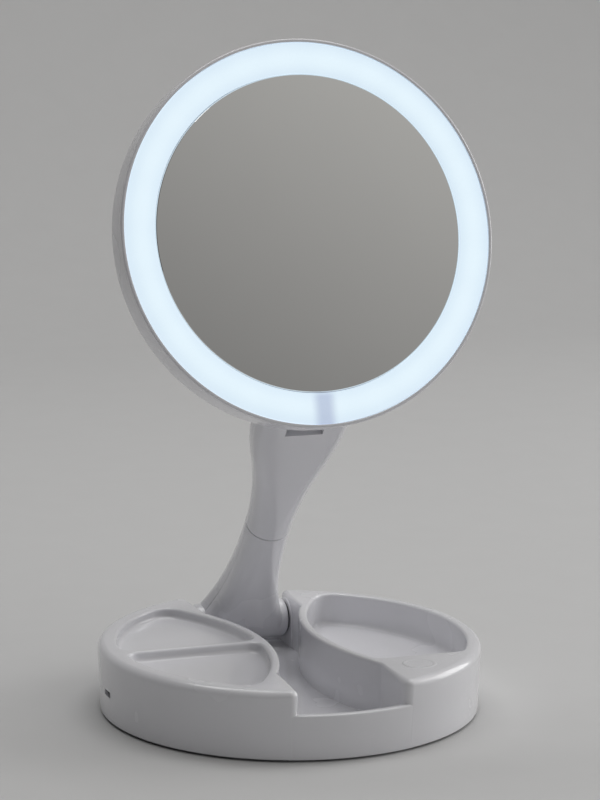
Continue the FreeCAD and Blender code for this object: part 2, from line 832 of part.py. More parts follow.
# control board, switch and power button
node(box("board", BOARD_X, BOARD_Y, (f"{COVER_TOP} + board_post", BOARD_TOP)), "control_board")
SWITCH_TOP = f"{BOARD_TOP} + switch_height"
switch_body = box(
    "switch_body",
    ("button_x - switch_width / 2", "button_x + switch_width / 2"),
    ("button_y - switch_width / 2", "button_y + switch_width / 2"),
    (BOARD_TOP, SWITCH_TOP),
)
switch_well = rod(
    "switch_well",
    "plunger_radius + button_clearance",
    f"{SWITCH_TOP} - switch_well",
    f"{SWITCH_TOP} + {OVERCUT}",
    at=button_at,
)
node(cut("switch", switch_body, switch_well), "power_switch")
FLANGE_TOP = f"{DECK_UNDER} - button_clearance"
button = turned(
    "button",
    [
        ("0", f"{SWITCH_TOP} - plunger_depth"),
        ("plunger_radius", f"{SWITCH_TOP} - plunger_depth"),
        ("plunger_radius", f"{FLANGE_TOP} - button_flange_thickness"),
        ("button_flange_radius", f"{FLANGE_TOP} - button_flange_thickness"),
        ("button_flange_radius", FLANGE_TOP),
        ("button_radius", FLANGE_TOP),
        ("button_radius", "deck_height - button_height"),
        ("button_radius - 2 * button_height", "deck_height + button_height"),
        ("0", "deck_height + button_height"),
    ],
)
shift(button, "button_x", "button_y", "0")
node(button, "power_button")

# charge board, socket and indicator
node(box("charger", CHARGE_X, CHARGE_Y, (f"{COVER_TOP} + charge_post", CHARGE_TOP)), "charge_board")
SOCKET_FRONT = "socket_inset - base_radius"
socket_shell = box(
    "socket_shell",
    (SOCKET_FRONT, f"{CHARGE_EDGE} + charge_board_width / 2"),
    SOCKET_SIDES,
    (SOCKET_LOW, SOCKET_HIGH),
)
socket_mouth = box(
    "socket_mouth",
    (f"{SOCKET_FRONT} - {OVERCUT}", f"{SOCKET_FRONT} + socket_depth"),
    (f"{SOCKET_SIDES[0]} + socket_wall", f"{SOCKET_SIDES[1]} - socket_wall"),
    (f"{SOCKET_LOW} + socket_wall", f"{SOCKET_HIGH} - socket_wall"),
)
node(cut("socket", socket_shell, socket_mouth), "usb_socket")
pipe_stand = box(
    "pipe_stand",
    (CHARGE_EDGE, f"{CHARGE_EDGE} + pipe_block"),
    ("pipe_y - pipe_block / 2", "pipe_y + pipe_block / 2"),
    (CHARGE_TOP, f"{PIPE_LEVEL} + pipe_block / 2"),
)
pipe_rod = rod(
    "pipe_rod", "pipe_radius", SOCKET_FRONT, f"{CHARGE_EDGE} + pipe_block / 2", "X", ("pipe_y", PIPE_LEVEL)
)
node(fuse("pipe", pipe_stand, pipe_rod), "indicator_light_pipe")

# stem hinge
hinge_at = ("hinge_y", "hinge_z")
node(rod("hinge_pin", "hinge_pin_radius", f"-({PIN_HALF})", PIN_HALF, "X", hinge_at), "stem_hinge_pin")
washer = ("hinge_pin_radius + running_clearance", "hinge_washer_radius")
left_washer = tube("left_washer", *washer, f"-({CHEEK_FACE})", "-barrel_half_width", "X", hinge_at)
right_washer = tube("right_washer", *washer, "barrel_half_width", CHEEK_FACE, "X", hinge_at)
node(gather("hinge_washers", [left_washer, right_washer]), "stem_hinge_washers")

# lower stem, drawn along Z from the hinge
half_far = 2 * value("barrel_half_width")
half_long = 2 * value("stem_length")
FRONT_HALF = Part.makeBox(2 * half_far, half_far, half_long, V(-half_far, -half_far, -half_far))
REAR_HALF = Part.makeBox(2 * half_far, half_far, half_long, V(-half_far, 0, -half_far))


def stem_screws(prefix, stations):
    """Boss, hole, head seat and screw for each place along a stem, driven in from the rear."""
    made = {"bosses": [], "holes": [], "screws": []}
    for index, (station, half_thickness) in enumerate(stations, start=1):
        at = ("0", station)
        seat = f"{half_thickness} - stem_screw_cover"
        name = f"{prefix}_{index}"
        reach = f"{half_thickness} - stem_wall / 2"
        made["bosses"].append(rod(f"{name}_boss", "stem_boss_radius", f"-({reach})", reach, "Y", at))
        tip = f"{seat} - screw_length - screw_tip_gap"
        outside = f"{half_thickness} + 2 * {OVERCUT}"
        hole = rod(f"{name}_hole", "screw_radius + running_clearance", tip, seat, "Y", at)
        head = rod(f"{name}_seat", "screw_head_radius + screw_clearance", seat, outside, "Y", at)
        made["holes"] += [hole, head]
        piece = screw(name, *SCREW)
        piece.Placement = FreeCAD.Placement(V(), AXIS_TURNS["Y"])
        made["screws"].append(shift(piece, "0", seat, station))
    return made


def half_stem(name, whole, half, label):
    """The front or the rear half of a stem, split down its middle plane."""
    piece = common(name, whole, shaped(f"{name}_side", half))
    return node(piece, label, "stem")


lower_screws = stem_screws(
    "lower_screw",
    [
        (f"{share} * ({SEAM_LOW})", f"barrel_radius + (seam_radius - barrel_radius) * {share}")
        for share in LOWER_SCREWS
    ],
)
FLANGE_HIGH = f"{SEAM_LOW} - sleeve_flange_below"
FLANGE_LOW = f"{FLANGE_HIGH} - sleeve_flange_length"
seam_low = value(SEAM_LOW)
lower_cavity = stem_loft(
    "lower_cavity", lower_section, value("barrel_radius + stem_wall"), value(SLEEVE_LOW), value("stem_wall")
)
lower_whole = cut(
    "lower_whole",
    fuse(
        "lower_filled",
        cut(
            "lower_hollow",
            fuse(
                "lower_outside",
                stem_loft("lower_loft", lower_section, 0.0, seam_low),
                rod("barrel", "barrel_radius", "-barrel_half_width", "barrel_half_width", "X"),
            ),
            lower_cavity,
        ),
        *lower_screws["bosses"],
    ),
    rod(
        "barrel_bore",
        "hinge_pin_radius + running_clearance",
        "-2 * barrel_half_width",
        "2 * barrel_half_width",
        "X",
    ),
    rod(
        "sleeve_bore",
        f"{SLEEVE_RADIUS} + running_clearance",
        f"{SLEEVE_LOW} - {OVERCUT}",
        f"{SEAM_LOW} + {OVERCUT}",
    ),
    rod(
        "sleeve_groove",
        f"{SLEEVE_RADIUS} + sleeve_flange + running_clearance",
        FLANGE_LOW,
        FLANGE_HIGH,
    ),
    *lower_screws["holes"],
)
half_stem("lower_front", lower_whole, FRONT_HALF, "lower_stem_front")
half_stem("lower_rear", lower_whole, REAR_HALF, "lower_stem_rear")
node(gather("lower_screws", lower_screws["screws"]), "lower_stem_screw", "stem")
sleeve = turned(
    "sleeve",
    [
        ("spigot_radius + running_clearance", SLEEVE_LOW),
        (SLEEVE_RADIUS, SLEEVE_LOW),
        (SLEEVE_RADIUS, FLANGE_LOW),
        (f"{SLEEVE_RADIUS} + sleeve_flange", FLANGE_LOW),
        (f"{SLEEVE_RADIUS} + sleeve_flange", FLANGE_HIGH),
        (SLEEVE_RADIUS, FLANGE_HIGH),
        (SLEEVE_RADIUS, SEAM_LOW),
        ("spigot_radius + running_clearance", SEAM_LOW),
    ],
)
node(sleeve, "swivel_sleeve", "stem")

# upper stem, drawn in the same frame
seam_high = value(SEAM_HIGH)
stem_top = value("stem_length + ear_radius")
UPPER_SCREWS = [
    f"{SPIGOT_TOP} + spigot_screw_gap",
    f"{SPIGOT_TOP} + {UPPER_SCREW_MIDDLE} * ({SLOT_LOW} - ({SPIGOT_TOP}))",
]
UPPER_SHARE = f"({SLOT_LOW} - ({SEAM_HIGH}))"
upper_screws = stem_screws(
    "upper_screw",
    [
        (
            station,
            f"seam_radius + (ear_radius - seam_radius) * ({station} - ({SEAM_HIGH})) / {UPPER_SHARE}",
        )
        for station in UPPER_SCREWS
    ],
)
COLLAR_LOW = f"{SEAM_HIGH} + collar_above"
COLLAR_HIGH = f"{COLLAR_LOW} + collar_length"
ear_side = V(0, value("ear_radius"), value("stem_length"))
side_view = Part.Wire(
    [
        Part.LineSegment(V(0, -half_far, seam_high), V(0, half_far, seam_high)).toShape(),
        Part.LineSegment(V(0, half_far, seam_high), V(0, half_far, value(SLOT_LOW))).toShape(),
        Part.LineSegment(V(0, half_far, value(SLOT_LOW)), V(0, ear_side.y, value(SLOT_LOW))).toShape(),
        Part.LineSegment(V(0, ear_side.y, value(SLOT_LOW)), ear_side).toShape(),
        Part.Arc(ear_side, V(0, 0, stem_top), V(0, -ear_side.y, ear_side.z)).toShape(),
        Part.LineSegment(V(0, -ear_side.y, ear_side.z), V(0, -ear_side.y, value(SLOT_LOW))).toShape(),
        Part.LineSegment(V(0, -ear_side.y, value(SLOT_LOW)), V(0, -half_far, value(SLOT_LOW))).toShape(),
        Part.LineSegment(V(0, -half_far, value(SLOT_LOW)), V(0, -half_far, seam_high)).toShape(),
    ]
)
ear_shape = Part.Face(side_view).extrude(V(2 * half_far, 0, 0))
ear_shape.translate(V(-half_far, 0, 0))
ACROSS_EARS = ("-4 * ear_radius", "4 * ear_radius")
SLOT_SIDES = (f"-({EAR_FACE})", EAR_FACE)
SLOT_HIGH = "stem_length + 2 * ear_radius"
upper_outside = common(
    "upper_outside",
    stem_loft("upper_loft", upper_section, seam_high, stem_top),
    shaped("ear_shape", ear_shape),
    rod("stem_end", STEM_END, *ACROSS_EARS, "Y", ("0", STEM_END_MIDDLE)),
)
upper_cavity = stem_loft(
    "upper_cavity", upper_section, value(SPIGOT_TOP), value(f"{SLOT_LOW} - stem_wall"), value("stem_wall")
)
upper_whole = cut(
    "upper_whole",
    fuse("upper_filled", cut("upper_hollow", upper_outside, upper_cavity), *upper_screws["bosses"]),
    box("lug_slot", SLOT_SIDES, ACROSS_EARS, (FRONT_SLOT_LOW, SLOT_HIGH)),
    box("neck_slot", SLOT_SIDES, ("0", ACROSS_EARS[1]), (SLOT_LOW, SLOT_HIGH)),
    rod(
        "ear_bore",
        "head_pin_radius + running_clearance",
        "-2 * channel_mouth",
        "2 * channel_mouth",
        "X",
        ("0", "stem_length"),
    ),
    rod(
        "spigot_hole",
        "spigot_radius + running_clearance",
        f"{SEAM_HIGH} - {OVERCUT}",
        f"{SPIGOT_TOP} + {OVERCUT}",
    ),
    rod("collar_groove", "spigot_radius + spigot_collar + running_clearance", COLLAR_LOW, COLLAR_HIGH),
    *upper_screws["holes"],
)
half_stem("upper_front", upper_whole, FRONT_HALF, "upper_stem_front")
half_stem("upper_rear", upper_whole, REAR_HALF, "upper_stem_rear")
node(gather("upper_screws", upper_screws["screws"]), "upper_stem_screws", "stem")
RING_LOW = f"{RING_HIGH} - ring_thickness"
spigot = turned(
    "spigot",
    [
        ("spigot_bore", f"{SEAM_HIGH} - spigot_below"),
        ("spigot_radius", f"{SEAM_HIGH} - spigot_below"),
        ("spigot_radius", RING_LOW),
        ("spigot_radius - ring_seat_depth", RING_LOW),
        ("spigot_radius - ring_seat_depth", RING_HIGH),
        ("spigot_radius", RING_HIGH),
        ("spigot_radius", COLLAR_LOW),
        ("spigot_radius + spigot_collar", COLLAR_LOW),
        ("spigot_radius + spigot_collar", COLLAR_HIGH),
        ("spigot_radius", COLLAR_HIGH),
        ("spigot_radius", SPIGOT_TOP),
        ("spigot_bore", SPIGOT_TOP),
    ],
)
node(spigot, "swivel_spigot", "stem")
ring = tube(
    "ring",
    "spigot_radius - ring_seat_depth + running_clearance",
    "spigot_radius - ring_seat_depth + ring_width",
    RING_LOW,
    RING_HIGH,
    "Z",
)
node(ring, "swivel_retaining_ring", "stem")

# head hinge: pin and washers in the ears, and a bush in the lug
head_at = (HEAD_HINGE_Y, HEAD_HINGE_Z)
PIN_REACH = "ear_half_width - stem_wall"
TILT_BORE = "head_pin_radius + running_clearance"
node(rod("tilt_pin", "head_pin_radius", f"-({PIN_REACH})", PIN_REACH, "X", head_at), "head_hinge_pin")
tilt_washer = (TILT_BORE, "head_washer_radius")
left_tilt = tube("left_tilt_washer", *tilt_washer, f"-({EAR_FACE})", "-lug_half_width", "X", head_at)
right_tilt = tube("right_tilt_washer", *tilt_washer, "lug_half_width", EAR_FACE, "X", head_at)
node(gather("tilt_washers", [left_tilt, right_tilt]), "head_hinge_washers")
LUG_SIDES = ("-lug_half_width", "lug_half_width")
node(tube("bush", TILT_BORE, "bush_radius", *LUG_SIDES, "X", head_at), "head_hinge_bush")


def forward(level):
    """The y of a level counted forward from the head's back plane."""
    return f"-(head_offset + {level})"


def disc(name, outline):
    """A piece turned about the head's own axis, with corners (radius, level) and any arc's radius."""
    return turned(name, [(corner[0], forward(corner[1]), *corner[2:]) for corner in outline], "Y")


def round_places(circle, count):
    """Places spread evenly round the head's axis, as x and z in the frame of the head hinge."""
    turns = [360 * (index + 0.5) / count for index in range(count)]
    return [(f"({circle}) * cos({turn})", f"{HEAD_REACH} + ({circle}) * sin({turn})") for turn in turns]


# rear shell with the lug
shell_cup = disc(
    "shell_cup",
    [
        (REAR_WINDOW, "0"),
        ("head_radius - head_round", "0"),
        ("head_radius", "head_round", "-head_round"),
        ("head_radius", HEAD_RIM),
        (SHELL_INNER, HEAD_RIM),
        (SHELL_INNER, "head_back"),
        (REAR_WINDOW, "head_back"),
    ],
)
shift(shell_cup, z=HEAD_REACH)
CARRIER_PLACES = round_places(CARRIER_CIRCLE, CARRIER_SCREWS)
carrier_bosses = []
carrier_threads = []
carrier_holes = []
carrier_screws = []
for index, at in enumerate(CARRIER_PLACES, start=1):
    boss_ends = (forward("carrier_level"), forward("head_back / 2"))
    thread_ends = (f"{boss_ends[0]} - {OVERCUT}", forward("head_back"))
    hole_ends = (f"{forward(CARRIER_TOP)} - {OVERCUT}", f"{boss_ends[0]} + {OVERCUT}")
    thread = "carrier_screw_radius + running_clearance"
    hole = "carrier_screw_radius + screw_clearance"
    carrier_bosses.append(rod(f"carrier_boss_{index}", "carrier_boss_radius", *boss_ends, "Y", at))
    carrier_threads.append(rod(f"carrier_thread_{index}", thread, *thread_ends, "Y", at))
    carrier_holes.append(rod(f"carrier_hole_{index}", hole, *hole_ends, "Y", at))
    piece = screw(
        f"carrier_screw_{index}",
        "carrier_screw_head_radius",
        "carrier_screw_head_height",
        "carrier_screw_radius",
        "carrier_screw_length",
    )
    piece.Placement = FreeCAD.Placement(V(), FreeCAD.Rotation(V(1, 0, 0), 90))
    carrier_screws.append(shift(piece, at[0], forward(CARRIER_TOP), at[1]))
shell_solid = fuse(
    "shell_solid",
    shell_cup,
    rod("lug_barrel", "lug_radius", *LUG_SIDES, "X"),
    box("lug_web", LUG_SIDES, (forward("head_back / 2"), "0"), ("-lug_neck", "lug_neck")),
    *carrier_bosses,
)
past_lug = ("-2 * lug_half_width", "2 * lug_half_width")
lug_bore = rod("lug_bore", "bush_radius + running_clearance", *past_lug, "X")
node(cut("shell", shell_solid, lug_bore, *carrier_threads), "head_rear_shell", "head")

# mirror carrier, glass and light
GLASS_SEAT = f"{FACE_LEVEL} - glass_thickness"
GLASS_EDGE = f"{MIRROR_RADIUS} + mirror_gap / 2"
DIFFUSER_INNER = f"{MIRROR_RADIUS} + mirror_gap"
LEDGE_OUTER = f"{DIFFUSER_INNER} + diffuser_ledge"
CARRIER_RADIUS = f"{SHELL_INNER} - carrier_clearance"
REAR_RIB = "head_back + glass_thickness + rear_glass_play"
carrier_disc = disc(
    "carrier_disc",
    [
        ("0", "carrier_level"),
        (f"{REAR_GLASS} - glass_rib_width", "carrier_level"),
        (f"{REAR_GLASS} - glass_rib_width", REAR_RIB),
        (REAR_GLASS, REAR_RIB),
        (REAR_GLASS, "carrier_level"),
        (CARRIER_RADIUS, "carrier_level"),
        (CARRIER_RADIUS, CARRIER_TOP),
        (LEDGE_OUTER, CARRIER_TOP),
        (LEDGE_OUTER, HEAD_RIM),
        (GLASS_EDGE, HEAD_RIM),
        (GLASS_EDGE, GLASS_SEAT),
        (RIB_INNER, GLASS_SEAT),
        (RIB_INNER, CARRIER_TOP),
        ("0", CARRIER_TOP),
    ],
)
shift(carrier_disc, z=HEAD_REACH)
node(cut("carrier", carrier_disc, *carrier_holes), "mirror_carrier", "head")
node(gather("carrier_screws", carrier_screws), "carrier_screws", "head")
REAR_CURVE = f"(({REAR_GLASS}) ^ 2 + rear_glass_sag ^ 2) / (2 * rear_glass_sag)"
rear_glass = disc(
    "rear_glass",
    [
        ("0", "head_back + rear_glass_sag"),
        (REAR_GLASS, "head_back", REAR_CURVE),
        (REAR_GLASS, "head_back + glass_thickness"),
        ("0", "head_back + glass_thickness + rear_glass_sag", f"-({REAR_CURVE})"),
    ],
)
node(rear_glass, "magnifying_mirror", "disc")
front_glass = [
    ("0", GLASS_SEAT),
    (MIRROR_RADIUS, GLASS_SEAT),
    (MIRROR_RADIUS, FACE_LEVEL),
    ("0", FACE_LEVEL),
]
node(disc("front_glass", front_glass), "front_mirror", "disc")
DIFFUSER_OUTER = f"{BEZEL_INNER} - diffuser_clearance"
diffuser = [
    (DIFFUSER_INNER, HEAD_RIM),
    (DIFFUSER_OUTER, HEAD_RIM),
    (DIFFUSER_OUTER, FACE_LEVEL),
    (DIFFUSER_INNER, FACE_LEVEL),
]
node(disc("diffuser", diffuser), "light_diffuser", "disc")
bezel = [
    (BEZEL_INNER, HEAD_RIM),
    ("head_radius", HEAD_RIM),
    ("head_radius", "head_depth - bezel_width / 2"),
    ("head_radius - bezel_width / 2", "head_depth", "-bezel_width / 2"),
    (BEZEL_INNER, "head_depth"),
]
node(disc("bezel", bezel), "head_front_bezel", "disc")
LED_LEVEL = f"{CARRIER_TOP} + led_board_thickness"
led_board = [
    (f"{LEDGE_OUTER} + carrier_clearance", CARRIER_TOP),
    (CARRIER_RADIUS, CARRIER_TOP),
    (CARRIER_RADIUS, LED_LEVEL),
    (f"{LEDGE_OUTER} + carrier_clearance", LED_LEVEL),
]
node(disc("led_ring", led_board), "led_board", "disc")
chips = []
for index in range(LEDS):
    size = [value(name) for name in ("led_width", "led_height", "led_length")]
    corner = V(value(LED_CIRCLE) - size[0] / 2, value(forward(LED_LEVEL)) - size[1], -size[2] / 2)
    chip = Part.makeBox(*size, corner)
    chip.rotate(V(), V(0, 1, 0), 360 * (index + 0.5) / LEDS)
    chips.append(chip)
node(shaped("chips", Part.makeCompound(chips)), "led_chips", "disc")

doc.recompute()
failed = [piece.Name for piece in doc.Objects if {"Invalid", "Error"} & set(piece.State)]
bad = [piece.Label for piece in nodes if piece.Shape.isNull() or not piece.Shape.isValid()]
if failed or bad:
    raise RuntimeError(f"failed objects {failed}, bad shapes {bad}")
os.makedirs("parts", exist_ok=True)
for piece in nodes:
    piece.Shape.exportStep(f"parts/{piece.Label}.step")
    print(piece.Label, len(piece.Shape.Solids), round(piece.Shape.Volume, 1))
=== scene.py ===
# %% [markdown]
# # A lighted mirror that folds into its tray base
# The imported model is loaded as a fixed frame in metres. Every piece below is drawn in millimetres in the
# place that the frame gives, so nothing is fitted by eye.

# %% Load the frame
import cmath
import json
import math

import bmesh
import bpy
from mathutils import Matrix, Vector


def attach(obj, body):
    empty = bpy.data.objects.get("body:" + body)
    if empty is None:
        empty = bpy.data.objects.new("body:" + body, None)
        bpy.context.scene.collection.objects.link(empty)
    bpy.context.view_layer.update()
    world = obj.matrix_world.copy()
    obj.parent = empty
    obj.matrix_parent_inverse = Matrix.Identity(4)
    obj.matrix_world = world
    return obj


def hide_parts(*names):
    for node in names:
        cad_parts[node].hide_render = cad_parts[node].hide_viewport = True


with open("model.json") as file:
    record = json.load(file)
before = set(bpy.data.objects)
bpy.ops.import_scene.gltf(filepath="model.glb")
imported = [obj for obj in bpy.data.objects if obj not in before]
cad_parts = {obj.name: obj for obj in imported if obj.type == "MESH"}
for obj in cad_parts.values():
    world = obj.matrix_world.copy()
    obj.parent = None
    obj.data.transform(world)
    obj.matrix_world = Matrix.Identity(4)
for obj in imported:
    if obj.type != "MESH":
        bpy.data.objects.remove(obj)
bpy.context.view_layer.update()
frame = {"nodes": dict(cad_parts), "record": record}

MM = 0.001
NODES = frame["nodes"]

# %% [markdown]
# ## The three frames of the object
# The base stands on z = 0. The stem leans forward from a hinge at the rear of the base, and the head
# leans back from a hinge at the stem's upper end. A piece is drawn upright in its own frame, which keeps
# its numbers simple, and one matrix then puts it in place. That is easier to read than turning each point
# by hand.

# %% Frames of the base, the stem and the head
STEM_HINGE = Vector((0, 72, 20))
STEM_LENGTH = 145.5
STEM_LEAN = math.radians(37)
HEAD_LEAN = math.radians(-15.4)
HEAD_REACH = 73
BASE_FRAME = Matrix.Scale(MM, 4)
STEM_FRAME = BASE_FRAME @ Matrix.Translation(STEM_HINGE) @ Matrix.Rotation(STEM_LEAN, 4, "X")
HEAD_HINGE = STEM_HINGE + Matrix.Rotation(STEM_LEAN, 3, "X") @ Vector((0, 0, STEM_LENGTH))
HEAD_FRAME = BASE_FRAME @ Matrix.Translation(HEAD_HINGE) @ Matrix.Rotation(HEAD_LEAN, 4, "X")
DISC_FRAME = HEAD_FRAME @ Matrix.Translation((0, 0, HEAD_REACH))
print("head hinge at", [round(number, 2) for number in HEAD_HINGE])

# %% [markdown]
# ## The camera
# The camera stands in front, to the left and a little above, about 1.2 m away. A long lens keeps the base
# and the head in the flat proportion of a product picture. A small shift frames the object without
# turning the camera, so upright edges stay upright.

# %% Camera
CAMERA_TURN = math.radians(-19.4)
CAMERA_RISE = math.radians(11.52)
CAMERA_ROLL = math.radians(0.32)
CAMERA_AIM = Vector((0, 0, 0.120))
CAMERA_DISTANCE = 1.20923
CAMERA_LENS = 124.43
CAMERA_SHIFT = 0.0119, 0.0503


def new_object(name, data):
    """An object in the scene, at the origin."""
    made = bpy.data.objects.new(name, data)
    bpy.context.collection.objects.link(made)
    return made


back = Vector((
    math.sin(CAMERA_TURN) * math.cos(CAMERA_RISE),
    -math.cos(CAMERA_TURN) * math.cos(CAMERA_RISE),
    math.sin(CAMERA_RISE),
))
level = Vector((math.cos(CAMERA_TURN), math.sin(CAMERA_TURN), 0))
right = level * math.cos(CAMERA_ROLL) + back.cross(level) * math.sin(CAMERA_ROLL)
camera = new_object("camera", bpy.data.cameras.new("camera"))
camera_axes = Matrix((right, back.cross(right), back)).transposed().to_4x4()
camera.matrix_world = Matrix.Translation(CAMERA_AIM + back * CAMERA_DISTANCE) @ camera_axes
camera.data.lens = CAMERA_LENS
camera.data.shift_x, camera.data.shift_y = CAMERA_SHIFT
bpy.context.scene.camera = camera
print("camera at", [round(number, 3) for number in camera.location])

# %% [markdown]
# ## A small language for shaders
# A shader graph is a formula, so it reads best as one. This class wraps a node's output socket: adding or
# multiplying two of them adds a Math node, and a plain number works on either side. Any other node is
# made by `node`, which takes the node's type, its settings and the values or links of its sockets.

# %% Shader formulas
class Formula:
    """An output socket of a material's tree that can be used in Python sums."""

    def __init__(self, tree, socket):
        self.tree = tree
        self.socket = socket

    def node(self, kind, settings=None, output=0, **sockets):
        """One output of a new node. A socket is named, or numbered as _0, _1 and so on."""
        made = self.tree.nodes.new(kind)
        for name, setting in (settings or {}).items():
            setattr(made, name, setting)
        for name, given in sockets.items():
            key = int(name[1:]) if name[1:].isdigit() else name.replace("_", " ")
            if isinstance(given, Formula):
                self.tree.links.new(given.socket, made.inputs[key])
            else:
                made.inputs[key].default_value = given
        return Formula(self.tree, made.outputs[output])

    def math(self, operation, first, second):
        return self.node("ShaderNodeMath", {"operation": operation}, _0=first, _1=second)

    def __add__(self, other):
        return self.math("ADD", self, other)

    def __radd__(self, other):
        return self.math("ADD", other, self)

    def __sub__(self, other):
        return self.math("SUBTRACT", self, other)

    def __rsub__(self, other):
        return self.math("SUBTRACT", other, self)

    def __mul__(self, other):
        return self.math("MULTIPLY", self, other)

    def __rmul__(self, other):
        return self.math("MULTIPLY", other, self)

    def __pow__(self, other):
        return self.math("POWER", self, other)

    def axes(self, names):
        """Some of the coordinates of this vector, such as its X and Z."""
        split = self.node("ShaderNodeSeparateXYZ", Vector=self).socket.node
        return [Formula(self.tree, split.outputs[name]) for name in names]

    def noise(self, scale, detail):
        """Soft grain in object space, from 0 to 1, with about `scale` grains to the metre."""
        settings = {"noise_dimensions": "3D"}
        return self.node("ShaderNodeTexNoise", settings, Vector=self, Scale=scale, Detail=detail)

    def ramp(self, low, high, start=0.0, end=1.0):
        """The value carried from one range to another, held at both ends."""
        sockets = {"_0": self, "_1": low, "_2": high, "_3": start, "_4": end}
        return self.node("ShaderNodeMapRange", {"interpolation_type": "SMOOTHSTEP"}, **sockets)

    def mix(self, first, second):
        """A colour between two, by this value."""
        sockets = {"_0": self, "_6": first, "_7": second}
        return self.node("ShaderNodeMix", {"data_type": "RGBA"}, output=2, **sockets)

    def bump(self, distance, strength):
        return self.node("ShaderNodeBump", Height=self, Distance=distance, Strength=strength)


print("shader formulas ready")

# %% A new material
def finish(name, colour, roughness, **constants):
    """A new material with the constants set on its shader. Returns the formula of object coordinates and a
    function that links formulas to the shader's sockets and returns the material."""
    material = bpy.data.materials.new(name)
    material.use_nodes = True
    tree = material.node_tree
    shader = tree.nodes["Principled BSDF"]
    shader.inputs["Base Color"].default_value = (*colour, 1)
    shader.inputs["Roughness"].default_value = roughness
    for socket, number in constants.items():
        shader.inputs[socket.replace("_", " ")].default_value = number
    place = Formula(tree, tree.nodes.new("ShaderNodeTexCoord").outputs["Object"])

    def feed(**links):
        for socket, formula in links.items():
            tree.links.new(formula.socket, shader.inputs[socket.replace("_", " ")])
        return material

    return place, feed


def shade(colour, amount):
    return (*[channel * amount for channel in colour], 1)


print("material maker ready")

# %% [markdown]
# ## White moulded plastic
# The housing, the stem and the head are one glossy white moulding with a cool tint. A moulded face is
# never perfectly even: it has a fine ripple that breaks up highlights, a slow change of gloss where hands
# touch it, and a trace of dust. Three noises at different scales give those, feeding bump, roughness and
# colour. A thin coat gives the sharp highlight over the softer body, as lacquered or polished plastic
# has.

# %% White plastics
PLASTIC_IOR = 1.49
WHITE = (0.79, 0.79, 0.825)
SATIN_WHITE = (0.66, 0.66, 0.69)


def white_plastic(name, colour, roughness, coat):
    place, feed = finish(name, colour, roughness, Coat_Weight=coat, Coat_Roughness=0.05, IOR=PLASTIC_IOR)
    slow = place.noise(24, 3)
    ripple = place.noise(140, 1)
    dust = place.noise(2600, 1).ramp(0.68, 0.8)
    return feed(
        Base_Color=slow.mix(shade(colour, 1.0), shade(colour, 0.985)),
        Roughness=slow.ramp(0.1, 0.9, roughness * 0.9, roughness * 1.1) + dust * 0.06,
        Normal=ripple.bump(0.00002, 0.5),
    )


gloss_white = white_plastic("gloss_white", WHITE, 0.26, 0.8)
satin_white = white_plastic("satin_white", SATIN_WHITE, 0.5, 0.0)
print("made", gloss_white.name, "and", satin_white.name)

# %% [markdown]
# ## The light ring and the glass
# The ring is a frosted cover over 24 small lamps. Light leaves it almost evenly: each lamp shows as a
# faint bright spot, and one short dark place is left at the bottom, where the lamp strip's two ends meet.
# Both are worked out from object coordinates turned into the head's frame: the spots from the angle round
# the ring, the dark place from the distance to its middle line. The mirrors are silvered glass, which is
# a smooth metal with the faintest bloom of dust.

# %% Light cover and mirror glass
LAMPS = 24
GAP_HALF = 0.0012, 0.0068
GAP_LEVEL = -0.070, -0.066
GLOW_RISE = 0.0675, 0.0735
GLOW_FALL = 0.0748, 0.0816
GLOW_DIM = (0.30, 0.42, 0.62, 1)
GLOW_FULL = (0.66, 0.78, 0.85, 1)
GAP_COLOUR = (0.30, 0.36, 0.52, 1)


def light_cover():
    place, feed = finish("light_cover", (0.30, 0.32, 0.35), 0.45, Emission_Strength=1.0, IOR=PLASTIC_IOR)
    centre, turn = DISC_FRAME.translation, (HEAD_LEAN, 0, 0)
    settings = {"vector_type": "TEXTURE"}
    local = place.node("ShaderNodeMapping", settings, Vector=place, Location=centre, Rotation=turn)
    aside, up = local.axes("XZ")
    gap = aside.math("ABSOLUTE", aside, 0.0).ramp(*GAP_HALF, 1.0, 0.0) * up.ramp(*GAP_LEVEL, 1.0, 0.0)
    lamp_turn = aside.math("ARCTAN2", up, aside) * LAMPS
    wave = lamp_turn.math("SINE", lamp_turn, 0.0)
    radius = (aside * aside + up * up) ** 0.5
    middle = radius.ramp(*GLOW_RISE) * radius.ramp(*GLOW_FALL, 1.0, 0.0)
    cloud = place.noise(60, 2)
    glow = 0.80 + middle * 0.17 + wave * 0.012 + cloud * 0.04
    return feed(
        Emission_Color=(gap * 0.72).mix(glow.mix(GLOW_DIM, GLOW_FULL), GAP_COLOUR),
        Roughness=cloud.ramp(0.3, 0.7, 0.38, 0.52),
    )


def silvered_glass():
    colour = (0.80, 0.80, 0.79)
    place, feed = finish("silvered_glass", colour, 0.015, Metallic=1.0)
    bloom = place.noise(35, 4)
    speck = place.noise(1900, 1).ramp(0.74, 0.82)
    return feed(
        Base_Color=(bloom * 0.5 + speck * 0.5).mix(shade(colour, 1.0), shade(colour, 0.94)),
        Roughness=bloom.ramp(0.45, 0.75, 0.008, 0.03) + speck * 0.05,
    )


light_ring_finish = light_cover()
glass_finish = silvered_glass()
print("made", light_ring_finish.name, "and", glass_finish.name)

# %% [markdown]
# ## Metals, rubber and the hidden parts
# Screws, pins and contacts are bright plated steel with fine drawn lines. The feet are soft dark rubber
# with a fine moulded grain. The bearings are dark acetal, which is waxy, and the boards are white solder
# mask with a faint weave.

